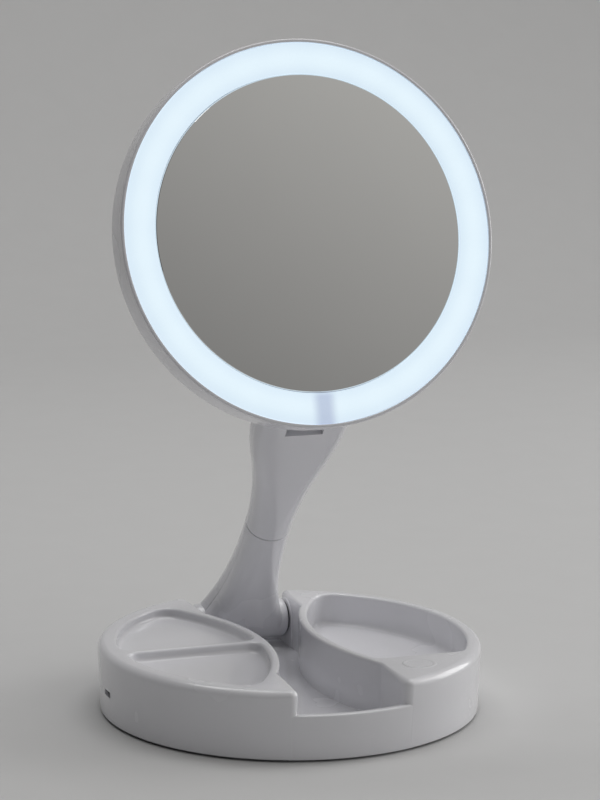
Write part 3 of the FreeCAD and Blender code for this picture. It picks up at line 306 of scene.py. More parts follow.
# %% Steel and rubber
def plated_steel():
    colour = (0.60, 0.60, 0.61)
    place, feed = finish("plated_steel", colour, 0.28, Metallic=1.0)
    drawn = place.node("ShaderNodeMapping", Vector=place, Scale=(60, 900, 900)).noise(6, 2)
    return feed(
        Base_Color=place.noise(300, 3).mix(shade(colour, 1.05), shade(colour, 0.8)),
        Roughness=drawn.ramp(0.3, 0.7, 0.2, 0.38),
        Normal=drawn.bump(0.00001, 0.4),
    )


def soft_rubber():
    colour = (0.055, 0.055, 0.058)
    place, feed = finish("soft_rubber", colour, 0.85)
    grain = place.noise(1800, 3)
    return feed(
        Base_Color=place.noise(120, 2).mix(shade(colour, 0.8), shade(colour, 1.5)),
        Roughness=grain.ramp(0.3, 0.7, 0.75, 0.95),
        Normal=grain.bump(0.00006, 0.6),
    )


steel_finish = plated_steel()
rubber_finish = soft_rubber()
print("made", steel_finish.name, "and", rubber_finish.name)

# %% Acetal and boards
def dark_acetal():
    colour = (0.045, 0.045, 0.048)
    place, feed = finish("dark_acetal", colour, 0.42)
    wax = place.noise(220, 2)
    return feed(
        Base_Color=wax.mix(shade(colour, 0.8), shade(colour, 1.4)),
        Roughness=wax.ramp(0.3, 0.7, 0.34, 0.5),
        Normal=place.noise(1500, 2).bump(0.00002, 0.4),
    )


def solder_mask():
    colour = (0.62, 0.66, 0.62)
    place, feed = finish("solder_mask", colour, 0.38)
    settings = {"wave_type": "BANDS", "bands_direction": "DIAGONAL"}
    weave = place.node("ShaderNodeTexWave", settings, output=1, Vector=place, Scale=900.0)
    return feed(
        Base_Color=place.noise(260, 2).mix(shade(colour, 0.92), shade(colour, 1.05)),
        Roughness=weave.ramp(0, 1, 0.33, 0.43),
        Normal=weave.bump(0.00001, 0.4),
    )


acetal_finish = dark_acetal()
board_finish = solder_mask()
print("made", acetal_finish.name, "and", board_finish.name)

# %% Lamps, cells and the list of finishes
def lamp_phosphor():
    colour = (0.90, 0.80, 0.42)
    place, feed = finish("lamp_phosphor", colour, 0.5)
    powder = place.noise(3000, 2)
    return feed(
        Base_Color=powder.mix(shade(colour, 0.85), shade(colour, 1.05)),
        Normal=powder.bump(0.00002, 0.5),
    )


def cell_jacket():
    colour = (0.16, 0.18, 0.21)
    place, feed = finish("cell_jacket", colour, 0.32, Coat_Weight=0.3)
    wrap = place.noise(90, 3)
    return feed(
        Base_Color=wrap.mix(shade(colour, 0.85), shade(colour, 1.15)),
        Roughness=wrap.ramp(0.3, 0.7, 0.26, 0.4),
        Normal=place.noise(500, 2).bump(0.00002, 0.5),
    )


FINISHES = {
    "white_gloss": gloss_white,
    "white_matte": satin_white,
    "diffuser": light_ring_finish,
    "mirror_glass": glass_finish,
    "steel": steel_finish,
    "rubber": rubber_finish,
    "bearing_plastic": acetal_finish,
    "circuit_board": board_finish,
    "led_white": lamp_phosphor(),
    "cell_jacket": cell_jacket(),
}
print("finishes:", ", ".join(FINISHES))

# %% [markdown]
# ## Tools for building a mesh
# Most pieces here are rings of points joined one to the next: a turned piece is a profile carried round
# an axis, and a tray is its outline carried down a wall. One function joins the rings, one closes a ring
# with a flat face, and one turns the result into a finished object. Rounding the corners of an outline
# first means that no bevel is needed afterwards, so every edge has exactly the radius that it was given.

# %% Rings and flat faces
def join_rings(bm, rings, around=True, along=False):
    """Faces between rings with the same number of points. Returns the rings as vertices."""
    made = [[bm.verts.new(point) for point in ring] for ring in rings]
    pairs = list(zip(made, made[1:])) + ([(made[-1], made[0])] if along else [])
    for first, second in pairs:
        count = len(first)
        for index in range(count if around else count - 1):
            after = (index + 1) % count
            corners = [first[index], first[after], second[after], second[index]]
            bm.faces.new(corners).smooth = True
    return made


def ring_edges(bm, ring):
    return [bm.edges.get((a, b)) for a, b in zip(ring, ring[1:] + ring[:1])]


def fill(bm, edges):
    """Flat faces, of triangles, inside or between nested closed loops of edges."""
    made = bmesh.ops.triangle_fill(bm, use_beauty=True, edges=edges)
    for item in made["geom"]:
        if isinstance(item, bmesh.types.BMFace):
            item.smooth = False


def loft(bm, rings):
    """Rings joined one to the next and closed at both ends."""
    made = join_rings(bm, rings)
    fill(bm, ring_edges(bm, made[0]))
    fill(bm, ring_edges(bm, made[-1]))


print("ring tools ready")

# %% Rounded outlines and finished pieces
MERGE = 1e-4
STRAIGHT = 0.01


def rounded_corners(corners, steps=6):
    """A closed outline of complex points through corners (x, y, radius), each rounded by its radius."""
    outline = []
    points = [complex(x, y) for x, y, _ in corners]
    for index, (x, y, radius) in enumerate(corners):
        here = points[index]
        before = points[index - 1] - here
        after = points[(index + 1) % len(points)] - here
        before, after = before / abs(before), after / abs(after)
        half = abs(cmath.phase(after / before)) / 2
        if radius <= 0 or half > math.pi / 2 - STRAIGHT:
            outline.append(here)
            continue
        middle = here + (before + after) / abs(before + after) * radius / math.sin(half)
        start = here + before * radius / math.tan(half) - middle
        end = here + after * radius / math.tan(half) - middle
        turn = cmath.phase(end / start)
        outline += [middle + start * cmath.exp(1j * turn * step / steps) for step in range(steps + 1)]
    return outline


def as_mesh(name, bm):
    """A drawing as a mesh, with its faces pointing outwards."""
    bmesh.ops.recalc_face_normals(bm, faces=bm.faces)
    mesh = bpy.data.meshes.new(name)
    bm.to_mesh(mesh)
    bm.free()
    return mesh


def dressed(name, mesh, finish_slot, body, *nodes):
    """A finished mesh as an object with its material, its body and the nodes that it stands for."""
    made = new_object(name, mesh)
    mesh.materials.clear()
    mesh.materials.append(FINISHES[finish_slot])
    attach(made, body)
    if nodes:
        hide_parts(*nodes)
    print(f"{name}: {len(mesh.polygons)} faces on {body}")


def piece(name, bm, place, finish_slot, body, *nodes, sharp=35):
    """Puts a drawn mesh in place as an object that rides on a body and stands for the nodes named."""
    bmesh.ops.remove_doubles(bm, verts=bm.verts, dist=MERGE)
    loose = [edge for edge in bm.edges if not edge.link_faces]
    bmesh.ops.delete(bm, geom=loose, context="EDGES")
    mesh = as_mesh(name, bm)
    mesh.transform(place)
    mesh.set_sharp_from_angle(angle=math.radians(sharp))
    dressed(name, mesh, finish_slot, body, *nodes)


print("piece tools ready")

# %% [markdown]
# ## The outlines of the base
# Seen from above, the base is a disc cut in two by a channel shaped like an hourglass, where the folded
# stem lies. Each tray is the overlap of two circles, one round the base and one along the channel, cut
# straight where another thing begins. An outline is a list of points with the direction that faces out at
# each, so the same list serves for the rim, the wall and the floor, each at its own offset. Complex
# numbers make points and turns short to write.

# %% Sizes of the base and its channel
BASE_RADIUS = 84
DECK_RADIUS = 85
DECK = 31
FOOT = 1
RIM_ROUND = 3.6
CHANNEL_ROUND = 1.2
CORNER_ROUND = 2.8
CHANNEL_WAIST = 11.1
CHANNEL_MOUTH = 23.5
CHANNEL_RUN = 52
CHANNEL_ARC = 112


def two_arcs(distance, waist, mouth, run, first):
    """Half width and slope of a side that swells along two arcs from a waist to a mouth."""
    rise = mouth - waist
    second = (run**2 + rise**2) / (2 * rise) - first
    if abs(distance) >= run:
        return mouth, 0.0
    if abs(distance) <= run * first / (first + second):
        drop = math.sqrt(first**2 - distance**2)
        return waist + first - drop, distance / drop
    over = run - abs(distance)
    drop = math.sqrt(second**2 - over**2)
    return mouth - second + drop, math.copysign(over / drop, distance)


def channel_side(y):
    return two_arcs(y, CHANNEL_WAIST, CHANNEL_MOUTH, CHANNEL_RUN, CHANNEL_ARC)


def wall_radius(z):
    """The outer wall leans in a little towards the table."""
    return BASE_RADIUS + (DECK_RADIUS - BASE_RADIUS) * (z - FOOT) / (DECK - RIM_ROUND - FOOT)


print("half width of the channel:", [channel_side(y)[0] for y in (0, CHANNEL_RUN)])

# %% Sides and corners of an outline
POINT_STEP, ROUND_STEP, FINE_STEP = 1.5, 0.6, 0.3


def arc_points(middle, radius, start, end, step=POINT_STEP):
    """Points and outward directions along an arc that runs anticlockwise."""
    end += math.tau * math.ceil((start - end) / math.tau - 1e-9)
    count = max(6, math.ceil(abs(radius) * (end - start) / step))
    turns = [cmath.exp(1j * (start + (end - start) * index / count)) for index in range(count + 1)]
    return [(middle + radius * turn, turn) for turn in turns]


def crossing(first, second, inset, near):
    """Where two sides cross once both are moved in, near a point. A side is (centre, radius) or, where it is
    straight, (point, direction)."""
    (middle, radius), (other, reach) = first, second
    if isinstance(reach, complex):
        start = other + 1j * reach * inset - middle
        along = -(start / reach).real
        rise = math.sqrt((radius - inset) ** 2 - (start / reach).imag ** 2)
        found = [middle + start + reach * (along + sign * rise) for sign in (1, -1)]
    elif isinstance(radius, complex):
        return crossing(second, first, inset, near)
    else:
        apart = other - middle
        length = abs(apart)
        along = ((radius - inset) ** 2 - (reach - inset) ** 2 + length**2) / (2 * length)
        rise = math.sqrt((radius - inset) ** 2 - along**2)
        found = [middle + apart / length * (along + sign * 1j * rise) for sign in (1, -1)]
    return min(found, key=lambda point: abs(point - near))


def facing(side, point):
    """The outward direction of a side at a point on it."""
    middle, reach = side
    return -1j * reach if isinstance(reach, complex) else (point - middle) / abs(point - middle)


def rounded_outline(sides, corners):
    """A closed outline from sides in anticlockwise order, with corner i (radius, guess) after side i."""
    centres = []
    for index, (radius, near) in enumerate(corners):
        after = sides[(index + 1) % len(sides)]
        middle = crossing(sides[index], after, radius, near)
        centres.append((middle, radius, facing(sides[index], middle), facing(after, middle)))
    outline = []
    for index, side in enumerate(sides):
        (before, radius, _, start), (after, last_radius, end, leave) = centres[index - 1], centres[index]
        if isinstance(side[1], complex):
            ends = before + start * radius, after + end * last_radius
            run = ends[1] - ends[0]
            count = max(2, math.ceil(abs(run) / POINT_STEP))
            outline += [(ends[0] + run * step / count, start) for step in range(1, count)]
        else:
            outline += arc_points(side[0], side[1], cmath.phase(start), cmath.phase(end))[1:-1]
        outline += arc_points(after, last_radius, cmath.phase(end), cmath.phase(leave), ROUND_STEP)
    return outline


print("outline tools ready")

# %% Outlines of the trays and of one half of the deck
CHANNEL_RIM = 4
TRAY_TIP = 8
TRAY_CORNER = 6
NEAR_RIM, NEAR_TIP, NEAR_CHANNEL = 70, 33 + 66j, 15
MOUTH_CORNER = 3.2
MOUTH_STEPS = 12
RIM_FADE = 10


def tray_outline(rim, front=None, rear=None):
    """A tray on the right side, between the rim and the channel, cut straight at the front or the rear."""
    outer = (0j, DECK_RADIUS - rim)
    inner = (complex(CHANNEL_WAIST + CHANNEL_ARC), CHANNEL_ARC - CHANNEL_RIM)
    cut = front if rear is None else rear
    at_rim, at_channel = (TRAY_CORNER, complex(NEAR_RIM, cut)), (TRAY_CORNER, complex(NEAR_CHANNEL, cut))
    if rear is None:
        straight = (complex(0, front), 1 + 0j)
        return rounded_outline([straight, outer, inner], [at_rim, (TRAY_TIP, NEAR_TIP), at_channel])
    straight = (complex(0, rear), -1 + 0j)
    front_tip = (TRAY_TIP, NEAR_TIP.conjugate())
    return rounded_outline([outer, straight, inner], [at_rim, at_channel, front_tip])


def lobe_outline():
    """One half of the deck, to the right of the channel. A point has its outward direction, how far it
    belongs to the outer wall, and the radius of its rim, which grows along the wall from the mouth."""
    reach = math.sqrt((DECK_RADIUS - MOUTH_CORNER) ** 2 - (CHANNEL_MOUTH + MOUTH_CORNER) ** 2)
    middle = complex(CHANNEL_MOUTH + MOUTH_CORNER, reach)
    turn = cmath.phase(middle)
    mouth = [reach + (CHANNEL_RUN - reach) * index / MOUTH_STEPS for index in range(MOUTH_STEPS)]
    count = math.ceil(2 * CHANNEL_RUN / POINT_STEP)
    waist = [CHANNEL_RUN * (1 - 2 * index / count) for index in range(count + 1)]
    outline = []
    for y in mouth + waist + [-y for y in reversed(mouth)]:
        x, slope = channel_side(y)
        share = max(0.0, (abs(y) - CHANNEL_RUN) / (reach - CHANNEL_RUN)) ** 2
        edge = CHANNEL_ROUND + (CORNER_ROUND - CHANNEL_ROUND) * share
        outline.append((complex(x, y), complex(-1, slope) / math.hypot(1, slope), 0.0, edge))
    front = arc_points(middle.conjugate(), MOUTH_CORNER, math.pi, -turn, FINE_STEP)
    outline += [(*way, index / (len(front) - 1), CORNER_ROUND) for index, way in enumerate(front)][1:]
    outer = arc_points(0j, DECK_RADIUS, -turn, turn)
    for index, way in enumerate(outer[1:], 1):
        share = min(1.0, POINT_STEP * min(index, len(outer) - 1 - index) / RIM_FADE)
        edge = CORNER_ROUND + (RIM_ROUND - CORNER_ROUND) * share**2 * (3 - 2 * share)
        outline.append((*way, 1.0, edge))
    rear = arc_points(middle, MOUTH_CORNER, turn, math.pi, FINE_STEP)
    outline += [(*way, 1 - index / (len(rear) - 1), CORNER_ROUND) for index, way in enumerate(rear)][1:-1]
    return outline


def at_offset(outline, grow, z, flip=1):
    """A ring at a height, moved out by grow, on the side of x that flip names."""
    moved = [point + out * grow for point, out in outline]
    return [(flip * point.real, point.imag, z) for point in moved]


print("lobe outline of", len(lobe_outline()), "points")

# %% [markdown]
# ## The housing with its trays
# The real housing is one moulding a little over 2 mm thick. Its upper skin is drawn as rings: down from
# the deck over a rounded rim, along the wall and over another round to the floor of each tray. The deck
# itself is a flat fill between all those rims. A Solidify modifier gives the skin its thickness. A bevel
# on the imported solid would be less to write, but it breaks where a small round meets a larger one.

# %% Trays and the button's recess
LEFT_FLOOR = DECK - 4.5
RIGHT_FLOOR = DECK - 15
LEFT_RIM = 8.5
RIGHT_RIM = 6.5
TRAY_RIM = 1.3
LEFT_FLOOR_ROUND = 2.2
RIGHT_FLOOR_ROUND = 2.4
BUTTON = complex(39, -57.5)
BUTTON_RECESS = 10.2
BUTTON_HOLE = 8.05
RECESS_FLOOR = DECK - 1.5
HOLE_FOOT = DECK - 3.2
RECESS_ROUND, HOLE_ROUND = 0.6, 0.3


def quarter(radius, steps=7):
    """(aside, down) along a quarter round, from (radius, 0) on its flat to (0, radius) on its wall."""
    turns = [math.pi / 2 * step / steps for step in range(steps + 1)]
    return [(radius * (1 - math.sin(turn)), radius * (1 - math.cos(turn))) for turn in turns]


def sunk_tray(bm, outline, floor, flip, floor_round):
    """A tray let into the deck, with a floor. Returns the edges of its rim."""
    rings = [at_offset(outline, aside, DECK - down, flip) for aside, down in quarter(TRAY_RIM)]
    rings += [at_offset(outline, -down, floor + aside, flip) for aside, down in quarter(floor_round)]
    made = join_rings(bm, rings)
    fill(bm, ring_edges(bm, made[-1]))
    return ring_edges(bm, made[0])


def button_recess(bm):
    """The shallow round recess and the hole for the button. Returns the edges of its rim."""
    circle = arc_points(BUTTON, BUTTON_RECESS, 0, math.tau, ROUND_STEP)[:-1]
    rings = [at_offset(circle, aside, DECK - down) for aside, down in quarter(RECESS_ROUND, 4)]
    rings += [at_offset(circle, -down, RECESS_FLOOR + aside) for aside, down in quarter(HOLE_ROUND, 3)]
    hole = BUTTON_HOLE - BUTTON_RECESS
    hole_steps = [(hole + aside, RECESS_FLOOR - down) for aside, down in quarter(HOLE_ROUND, 3)]
    rings += [at_offset(circle, grow, z) for grow, z in hole_steps + [(hole, HOLE_FOOT)]]
    return ring_edges(bm, join_rings(bm, rings)[0])


left_rear = tray_outline(LEFT_RIM, front=0.75)
left_front = tray_outline(LEFT_RIM, rear=-2.75)
right_tray = tray_outline(RIGHT_RIM, front=-44.5)
print("tray outlines of", len(left_rear), len(left_front), len(right_tray), "points")

# %% Rim, wall and deck
FOOT_ROUND = 0.4
CHANNEL_FOOT = 5.0
WALL_LEVELS = 20, 10, FOOT + FOOT_ROUND


def rim_ring(outline, aside, down, flip):
    """A ring over the rounded rim of one half of the base."""
    moved = [(point - out * aside * edge, DECK - down * edge) for point, out, _, edge in outline]
    return [(flip * point.real, point.imag, height) for point, height in moved]


def wall_ring(outline, z, low, flip, inset=0.0):
    """A ring round one half of the base: the outer wall goes down to z and the channel's side to low."""
    ring = []
    for point, out, outer, _ in outline:
        height = low + (z - low) * outer
        moved = point + out * (outer * (wall_radius(height) - DECK_RADIUS) - inset)
        ring.append((flip * moved.real, moved.imag, height))
    return ring


def half_base(bm, flip, openings):
    """One half of the base: rim, wall and deck, with the deck filled round the edges of its openings."""
    outline = lobe_outline()
    rings = [rim_ring(outline, aside, down, flip) for aside, down in quarter(1.0, 9)]
    rings += [wall_ring(outline, z, CHANNEL_FOOT, flip) for z in WALL_LEVELS]
    rings.append(wall_ring(outline, FOOT, CHANNEL_FOOT - FOOT_ROUND / 2, flip, FOOT_ROUND))
    made = join_rings(bm, rings)
    fill(bm, ring_edges(bm, made[0]) + openings)


base = bmesh.new()
right_openings = sunk_tray(base, right_tray, RIGHT_FLOOR, 1, RIGHT_FLOOR_ROUND) + button_recess(base)
half_base(base, 1, right_openings)
left_openings = sunk_tray(base, left_rear, LEFT_FLOOR, -1, LEFT_FLOOR_ROUND)
left_openings += sunk_tray(base, left_front, LEFT_FLOOR, -1, LEFT_FLOOR_ROUND)
half_base(base, -1, left_openings)
skin = as_mesh("housing_skin", base)
print("housing skin of", len(skin.polygons), "faces")

# %% [markdown]
# ## Lips, floor and cheeks
# The channel has a floor 7 mm above the table. A low lip closes its front and a lower one its rear, and
# both carry the outer wall across the gap. At the rear two thin pads line the walls beside the stem's
# hinge. The lips are one cross-section carried along an arc, and the pads are an outline given thickness
# with a small round at both faces.

# %% Lips and channel floor
LIP_INSIDE = 81.5
LIP_REACH = 28.0
LIP_STEPS = 60
LIP_PROUD, LIP_SINK, LIP_EVEN = 0.02, 0.08, 0.93
CHANNEL_FLOOR, FLOOR_UNDER = 7.0, 5.0
FLOOR_END, FLOOR_RADIUS, FLOOR_OVERLAP = 76.0, 82.0, 0.8


def lip(bm, side, height):
    """A bar along the outer wall at the front (-1) or the rear (1), up to a height. It stands a hair proud
    of the wall, and its ends sink into it."""
    corners = [(BASE_RADIUS, FOOT, 0.4), (wall_radius(height), height, 0.9)]
    corners += [(LIP_INSIDE, height, 0.8), (LIP_INSIDE, FOOT, 0.0)]
    section = rounded_corners(corners, 5)
    half = math.asin(LIP_REACH / DECK_RADIUS)
    rings = []
    for index in range(LIP_STEPS + 1):
        share = 2 * index / LIP_STEPS - 1
        turn = half * share
        sink = LIP_SINK * max(0, abs(share) - LIP_EVEN) / (1 - LIP_EVEN) - LIP_PROUD
        sunk = [point - sink * (1 + 1j) for point in section]
        aside, ahead = math.sin(turn), side * math.cos(turn)
        rings.append([(point.real * aside, point.real * ahead, point.imag) for point in sunk])
    loft(bm, rings)


def channel_floor(bm):
    """The plate under the channel, a little wider than it, so that it meets the walls."""
    lengths = [FLOOR_END * (step / 45 - 1) for step in range(91)]
    sides = [complex(channel_side(y)[0] + FLOOR_OVERLAP, y) for y in lengths]
    turn = cmath.phase(sides[-1])
    arc = [FLOOR_RADIUS * cmath.exp(1j * (turn + (math.pi - 2 * turn) * step / 16)) for step in range(17)]
    half = sides + arc
    outline = half + [-point for point in half]
    loft(bm, [[(point.real, point.imag, z) for point in outline] for z in (FLOOR_UNDER, CHANNEL_FLOOR)])


print("lips reach", LIP_REACH, "mm to each side")

# %% Slabs and hinge pads
PAD_RADIUS = 9.0
PAD_FOOT = 6.0


def slab(bm, outline, low, high, edge, axis):
    """An outline given thickness along an axis, with both its rims rounded."""
    count = len(outline)
    outs = [outline[(index + 1) % count] - outline[index - 1] for index in range(count)]
    outs = [-1j * out / abs(out) for out in outs]
    steps = [(low + down, -aside) for aside, down in quarter(edge, 4)]
    steps += [(high - down, -aside) for aside, down in reversed(quarter(edge, 4))]
    rings = []
    for level, grow in steps:
        moved = [point + out * grow for point, out in zip(outline, outs)]
        rings.append([axis(level, point.real, point.imag) for point in moved])
    loft(bm, rings)


def across(level, first, second):
    return level, first, second


def pad_outline():
    """A pad seen from the side: upright sides and a round top about the hinge."""
    hinge = complex(STEM_HINGE.y, STEM_HINGE.z)
    top = [hinge + PAD_RADIUS * cmath.exp(1j * math.pi * step / 24) for step in range(25)]
    feet = [complex(hinge.real + reach, PAD_FOOT) for reach in (PAD_RADIUS, -PAD_RADIUS)]
    return feet[:1] + top + feet[1:]


print("pad outline of", len(pad_outline()), "points")

# %% [markdown]
# ## Holes in the left wall
# A charging socket and a small indicator show in the left wall. Their holes are cut with a Boolean
# modifier, because they cross the swept wall at no ring of its own. The cutters are rounded slabs that
# are thrown away afterwards.

# %% Housing with its thickness and its holes
WALL = 2.2
SOCKET = complex(-2.2, 13.4)
SOCKET_HALF = complex(4.0, 1.4)
SOCKET_ROUND = 0.9
INDICATOR = complex(9.5, 12.9)
INDICATOR_RADIUS = 0.65
CUT_FROM, CUT_TO, CUT_EDGE = -90, -78, 0.05
FRONT_LIP, REAR_LIP = 20.5, 11.0
PAD_INSIDE, PAD_OUTSIDE, PAD_EDGE = 23.0, 24.2, 0.3


def settled(made):
    """The object's mesh with its modifiers applied, and the object removed."""
    graph = bpy.context.evaluated_depsgraph_get()
    mesh = bpy.data.meshes.new_from_object(made.evaluated_get(graph))
    bpy.data.objects.remove(made)
    return mesh


def around_circle(radius, steps, middle=0j, start=0.5):
    """Points on a circle. By default none is level with its middle, so that a cut there meets no point."""
    return [middle + radius * cmath.exp(1j * math.tau * (step + start) / steps) for step in range(steps)]


def box_corners(middle, half, radius):
    """The corners of a rectangle as (x, y, radius), anticlockwise."""
    signs = (-1, -1), (1, -1), (1, 1), (-1, 1)
    return [(middle.real + x * half.real, middle.imag + y * half.imag, radius) for x, y in signs]


cutter = bmesh.new()
socket_outline = rounded_corners(box_corners(SOCKET, SOCKET_HALF, SOCKET_ROUND))
indicator_outline = around_circle(INDICATOR_RADIUS, 24, INDICATOR, 0)
for outline in (socket_outline, indicator_outline):
    slab(cutter, outline, CUT_FROM, CUT_TO, CUT_EDGE, across)
wall_cutter = new_object("wall_cutter", as_mesh("wall_cutter", cutter))
housing = new_object("housing", skin)
thick = housing.modifiers.new("wall", "SOLIDIFY")
thick.thickness = WALL
thick.offset = -1
holes = housing.modifiers.new("holes", "BOOLEAN")
holes.object = wall_cutter
holes.operation = "DIFFERENCE"
whole = bmesh.new()
whole.from_mesh(settled(housing))
bpy.data.objects.remove(wall_cutter)
lip(whole, -1, FRONT_LIP)
lip(whole, 1, REAR_LIP)
channel_floor(whole)
for low, high in ((-PAD_OUTSIDE, -PAD_INSIDE), (PAD_INSIDE, PAD_OUTSIDE)):
    slab(whole, pad_outline(), low, high, PAD_EDGE, across)
piece("housing", whole, BASE_FRAME, "white_gloss", "base", "base_housing", sharp=20)

# %% [markdown]
# ## Turned pieces
# The button, the head and the glass are all turned: a profile of radius and level carried round an axis.
# The Screw modifier could do it, but a few lines of code give the same rings and let a profile close on
# itself, which makes a hollow ring such as the rear shell one watertight piece.

# %% Turning a profile
HEAD_OFFSET = 12.3


def turned(bm, profile, axis, steps):
    """A closed profile of complex (radius, level), carried round by a function of radius, level and turn."""
    rings = []
    for step in range(steps):
        turn = math.tau * step / steps
        rings.append([axis(point.real, point.imag, turn) for point in profile])
    join_rings(bm, rings, along=True)
    bmesh.ops.remove_doubles(bm, verts=bm.verts, dist=MERGE)


def upright(radius, level, turn):
    """Round the button's axis."""
    return BUTTON.real + radius * math.cos(turn), BUTTON.imag + radius * math.sin(turn), level


def forward(radius, level, turn):
    """Round the head's axis, with the level counted forward from its back."""
    return radius * math.cos(turn), -HEAD_OFFSET - level, radius * math.sin(turn)


def dish(radius, low, high, steps=14):
    """(radius, level) along a shallow hollow, from its rim to its middle."""
    shares = [1 - step / steps for step in range(steps + 1)]
    return [complex(radius * share, low + (high - low) * share**2) for share in shares]


print("turning tools ready")

# %% [markdown]
# ### Power button
# The button is a round cap on a plunger that goes down to the switch. Its top is hollowed a little for a
# fingertip, and a flange under the deck keeps it from falling out. One profile holds all of that.

# %% Power button
PLUNGER, PLUNGER_FOOT = 2.5, 9.5
FLANGE, FLANGE_LOW, FLANGE_HIGH = 9.4, 26.7, 28.2
CAP, CAP_TOP, CAP_ROUND = 7.75, 31.2, 0.9
HOLLOW, HOLLOW_FLOOR = 6.6, 30.5
BUTTON_STEPS = 96
button_corners = [(0, PLUNGER_FOOT, 0), (PLUNGER, PLUNGER_FOOT, 0.2), (PLUNGER, FLANGE_LOW, 0.3)]
button_corners += [(FLANGE, FLANGE_LOW, 0.2), (FLANGE, FLANGE_HIGH, 0.2), (CAP, FLANGE_HIGH, 0.1)]
button_corners += [(CAP, CAP_TOP, CAP_ROUND), (HOLLOW, CAP_TOP, 0), (0, CAP_TOP, 0)]
button_profile = rounded_corners(button_corners)[:-2] + dish(HOLLOW, HOLLOW_FLOOR, CAP_TOP)
button = bmesh.new()
turned(button, button_profile, upright, BUTTON_STEPS)
piece("button", button, BASE_FRAME, "white_gloss", "power_button", "power_button", sharp=50)

# %% [markdown]
# ## The head
# The head is a shallow round case. Its rear shell carries the hinge lug, and its open back shows the
# magnifying glass. From the front come the thin white bezel, the frosted ring and the flat glass, which
# sit nearly flush. A gap of a few tenths of a millimetre between them gives the dark line that separates
# real parts.

# %% Rear shell with its hinge lug
HEAD_RADIUS = 83
SHELL_DEPTH = 14
SHELL_INSIDE, SHELL_FLOOR, SHELL_OPENING = 80, 2.2, 58
LUG_RADIUS, LUG_HALF, LUG_NECK, LUG_EDGE = 7.0, 8.0, 4.5, 0.6
LUG_ROOT = -HEAD_OFFSET - 1.2
LUG_BORE, BORE_REACH = 4.05, 12
SHELL_STEPS = 192
CUT_HAIR = 0.01


def drilled(name, bm, *cutters, added=()):
    """A drawn solid with some others added and some taken away, as a new drawing."""
    solid = new_object(name, as_mesh(name, bm))
    tools = []
    for others, operation in ((added, "UNION"), (cutters, "DIFFERENCE")):
        for other in others:
            tools.append(new_object("tool", as_mesh("tool", other)))
            change = solid.modifiers.new("change", "BOOLEAN")
            change.object = tools[-1]
            change.operation = operation
    made = bmesh.new()
    made.from_mesh(settled(solid))
    for tool in tools:
        bpy.data.objects.remove(tool)
    return made


def rod(low, high, radius, axis, middle=0j, steps=48):
    bm = bmesh.new()
    slab(bm, around_circle(radius, steps, middle), low, high, CUT_HAIR, axis)
    return bm


meet = math.asin(LUG_NECK / LUG_RADIUS)
lug_turns = [math.pi + meet + (math.tau - 2 * meet) * step / 40 for step in range(41)]
lug_round = [LUG_RADIUS * cmath.exp(1j * turn) for turn in lug_turns]
lug_outline = [complex(LUG_ROOT, -LUG_NECK), *lug_round, complex(LUG_ROOT, LUG_NECK)]
lug = bmesh.new()
slab(lug, lug_outline, -LUG_HALF, LUG_HALF, LUG_EDGE, across)
shell = drilled("lug", lug, rod(-BORE_REACH, BORE_REACH, LUG_BORE, across))
bmesh.ops.translate(shell, verts=shell.verts, vec=(0, 0, -HEAD_REACH))
shell_corners = [(SHELL_OPENING, 0, 0.5), (HEAD_RADIUS, 0, 3.0), (HEAD_RADIUS, SHELL_DEPTH, 0.15)]
shell_corners += [(SHELL_INSIDE, SHELL_DEPTH, 0.2), (SHELL_INSIDE, SHELL_FLOOR, 0.8)]
shell_corners += [(SHELL_OPENING, SHELL_FLOOR, 0.3)]
turned(shell, rounded_corners(shell_corners, 8), forward, SHELL_STEPS)
piece("rear_shell", shell, DISC_FRAME, "white_gloss", "head", "head_rear_shell", sharp=40)

# %% [markdown]
# ### Bezel, light ring and glass
# All four are turned round the head's axis with the same function, so they share one centre and the gaps
# between them stay even. The rear glass is dished, because that is what makes it magnify; the front one
# is flat.

# %% Bezel, light ring and glass
BEZEL_INSIDE, BEZEL_FACE = 81.5, 17
RING_INSIDE, RING_OUTSIDE, RING_FACE = 68.1, 81.3, 16.4
GLASS_RADIUS, GLASS_BACK = 67.8, 14.4
REAR_GLASS, REAR_GLASS_FACE, REAR_CHAMFER = 61.5, 61.3, 2.4
REAR_LEVELS, INNER_LEVELS = (5.36, 2.2), (7.36, 4.2)
DISH_STEPS, ROUND_STEPS = 24, 224

bezel = bmesh.new()
bezel_corners = [(BEZEL_INSIDE, SHELL_DEPTH, 0.1), (HEAD_RADIUS, SHELL_DEPTH, 0.12)]
bezel_corners += [(HEAD_RADIUS, BEZEL_FACE, 0.75), (BEZEL_INSIDE, BEZEL_FACE, 0.35)]
turned(bezel, rounded_corners(bezel_corners), forward, ROUND_STEPS)
piece("bezel", bezel, DISC_FRAME, "white_gloss", "head", "head_front_bezel", sharp=60)

cover = bmesh.new()
cover_corners = [(RING_INSIDE, SHELL_DEPTH, 0.1), (RING_OUTSIDE, SHELL_DEPTH, 0.1)]
cover_corners += [(RING_OUTSIDE, RING_FACE, 0.4), (RING_INSIDE, RING_FACE, 0.4)]
turned(cover, rounded_corners(cover_corners, 4), forward, ROUND_STEPS)
piece("light_cover", cover, DISC_FRAME, "diffuser", "head", "light_diffuser")

glass = bmesh.new()
glass_profile = [complex(0, GLASS_BACK), complex(GLASS_RADIUS - 0.2, GLASS_BACK)]
glass_profile += [complex(GLASS_RADIUS, GLASS_BACK + 0.2), complex(GLASS_RADIUS, RING_FACE - 0.4)]
glass_profile += [complex(GLASS_RADIUS - 0.4, RING_FACE), complex(0, RING_FACE)]
turned(glass, glass_profile, forward, ROUND_STEPS)
piece("front_glass", glass, DISC_FRAME, "mirror_glass", "head", "front_mirror", sharp=20)

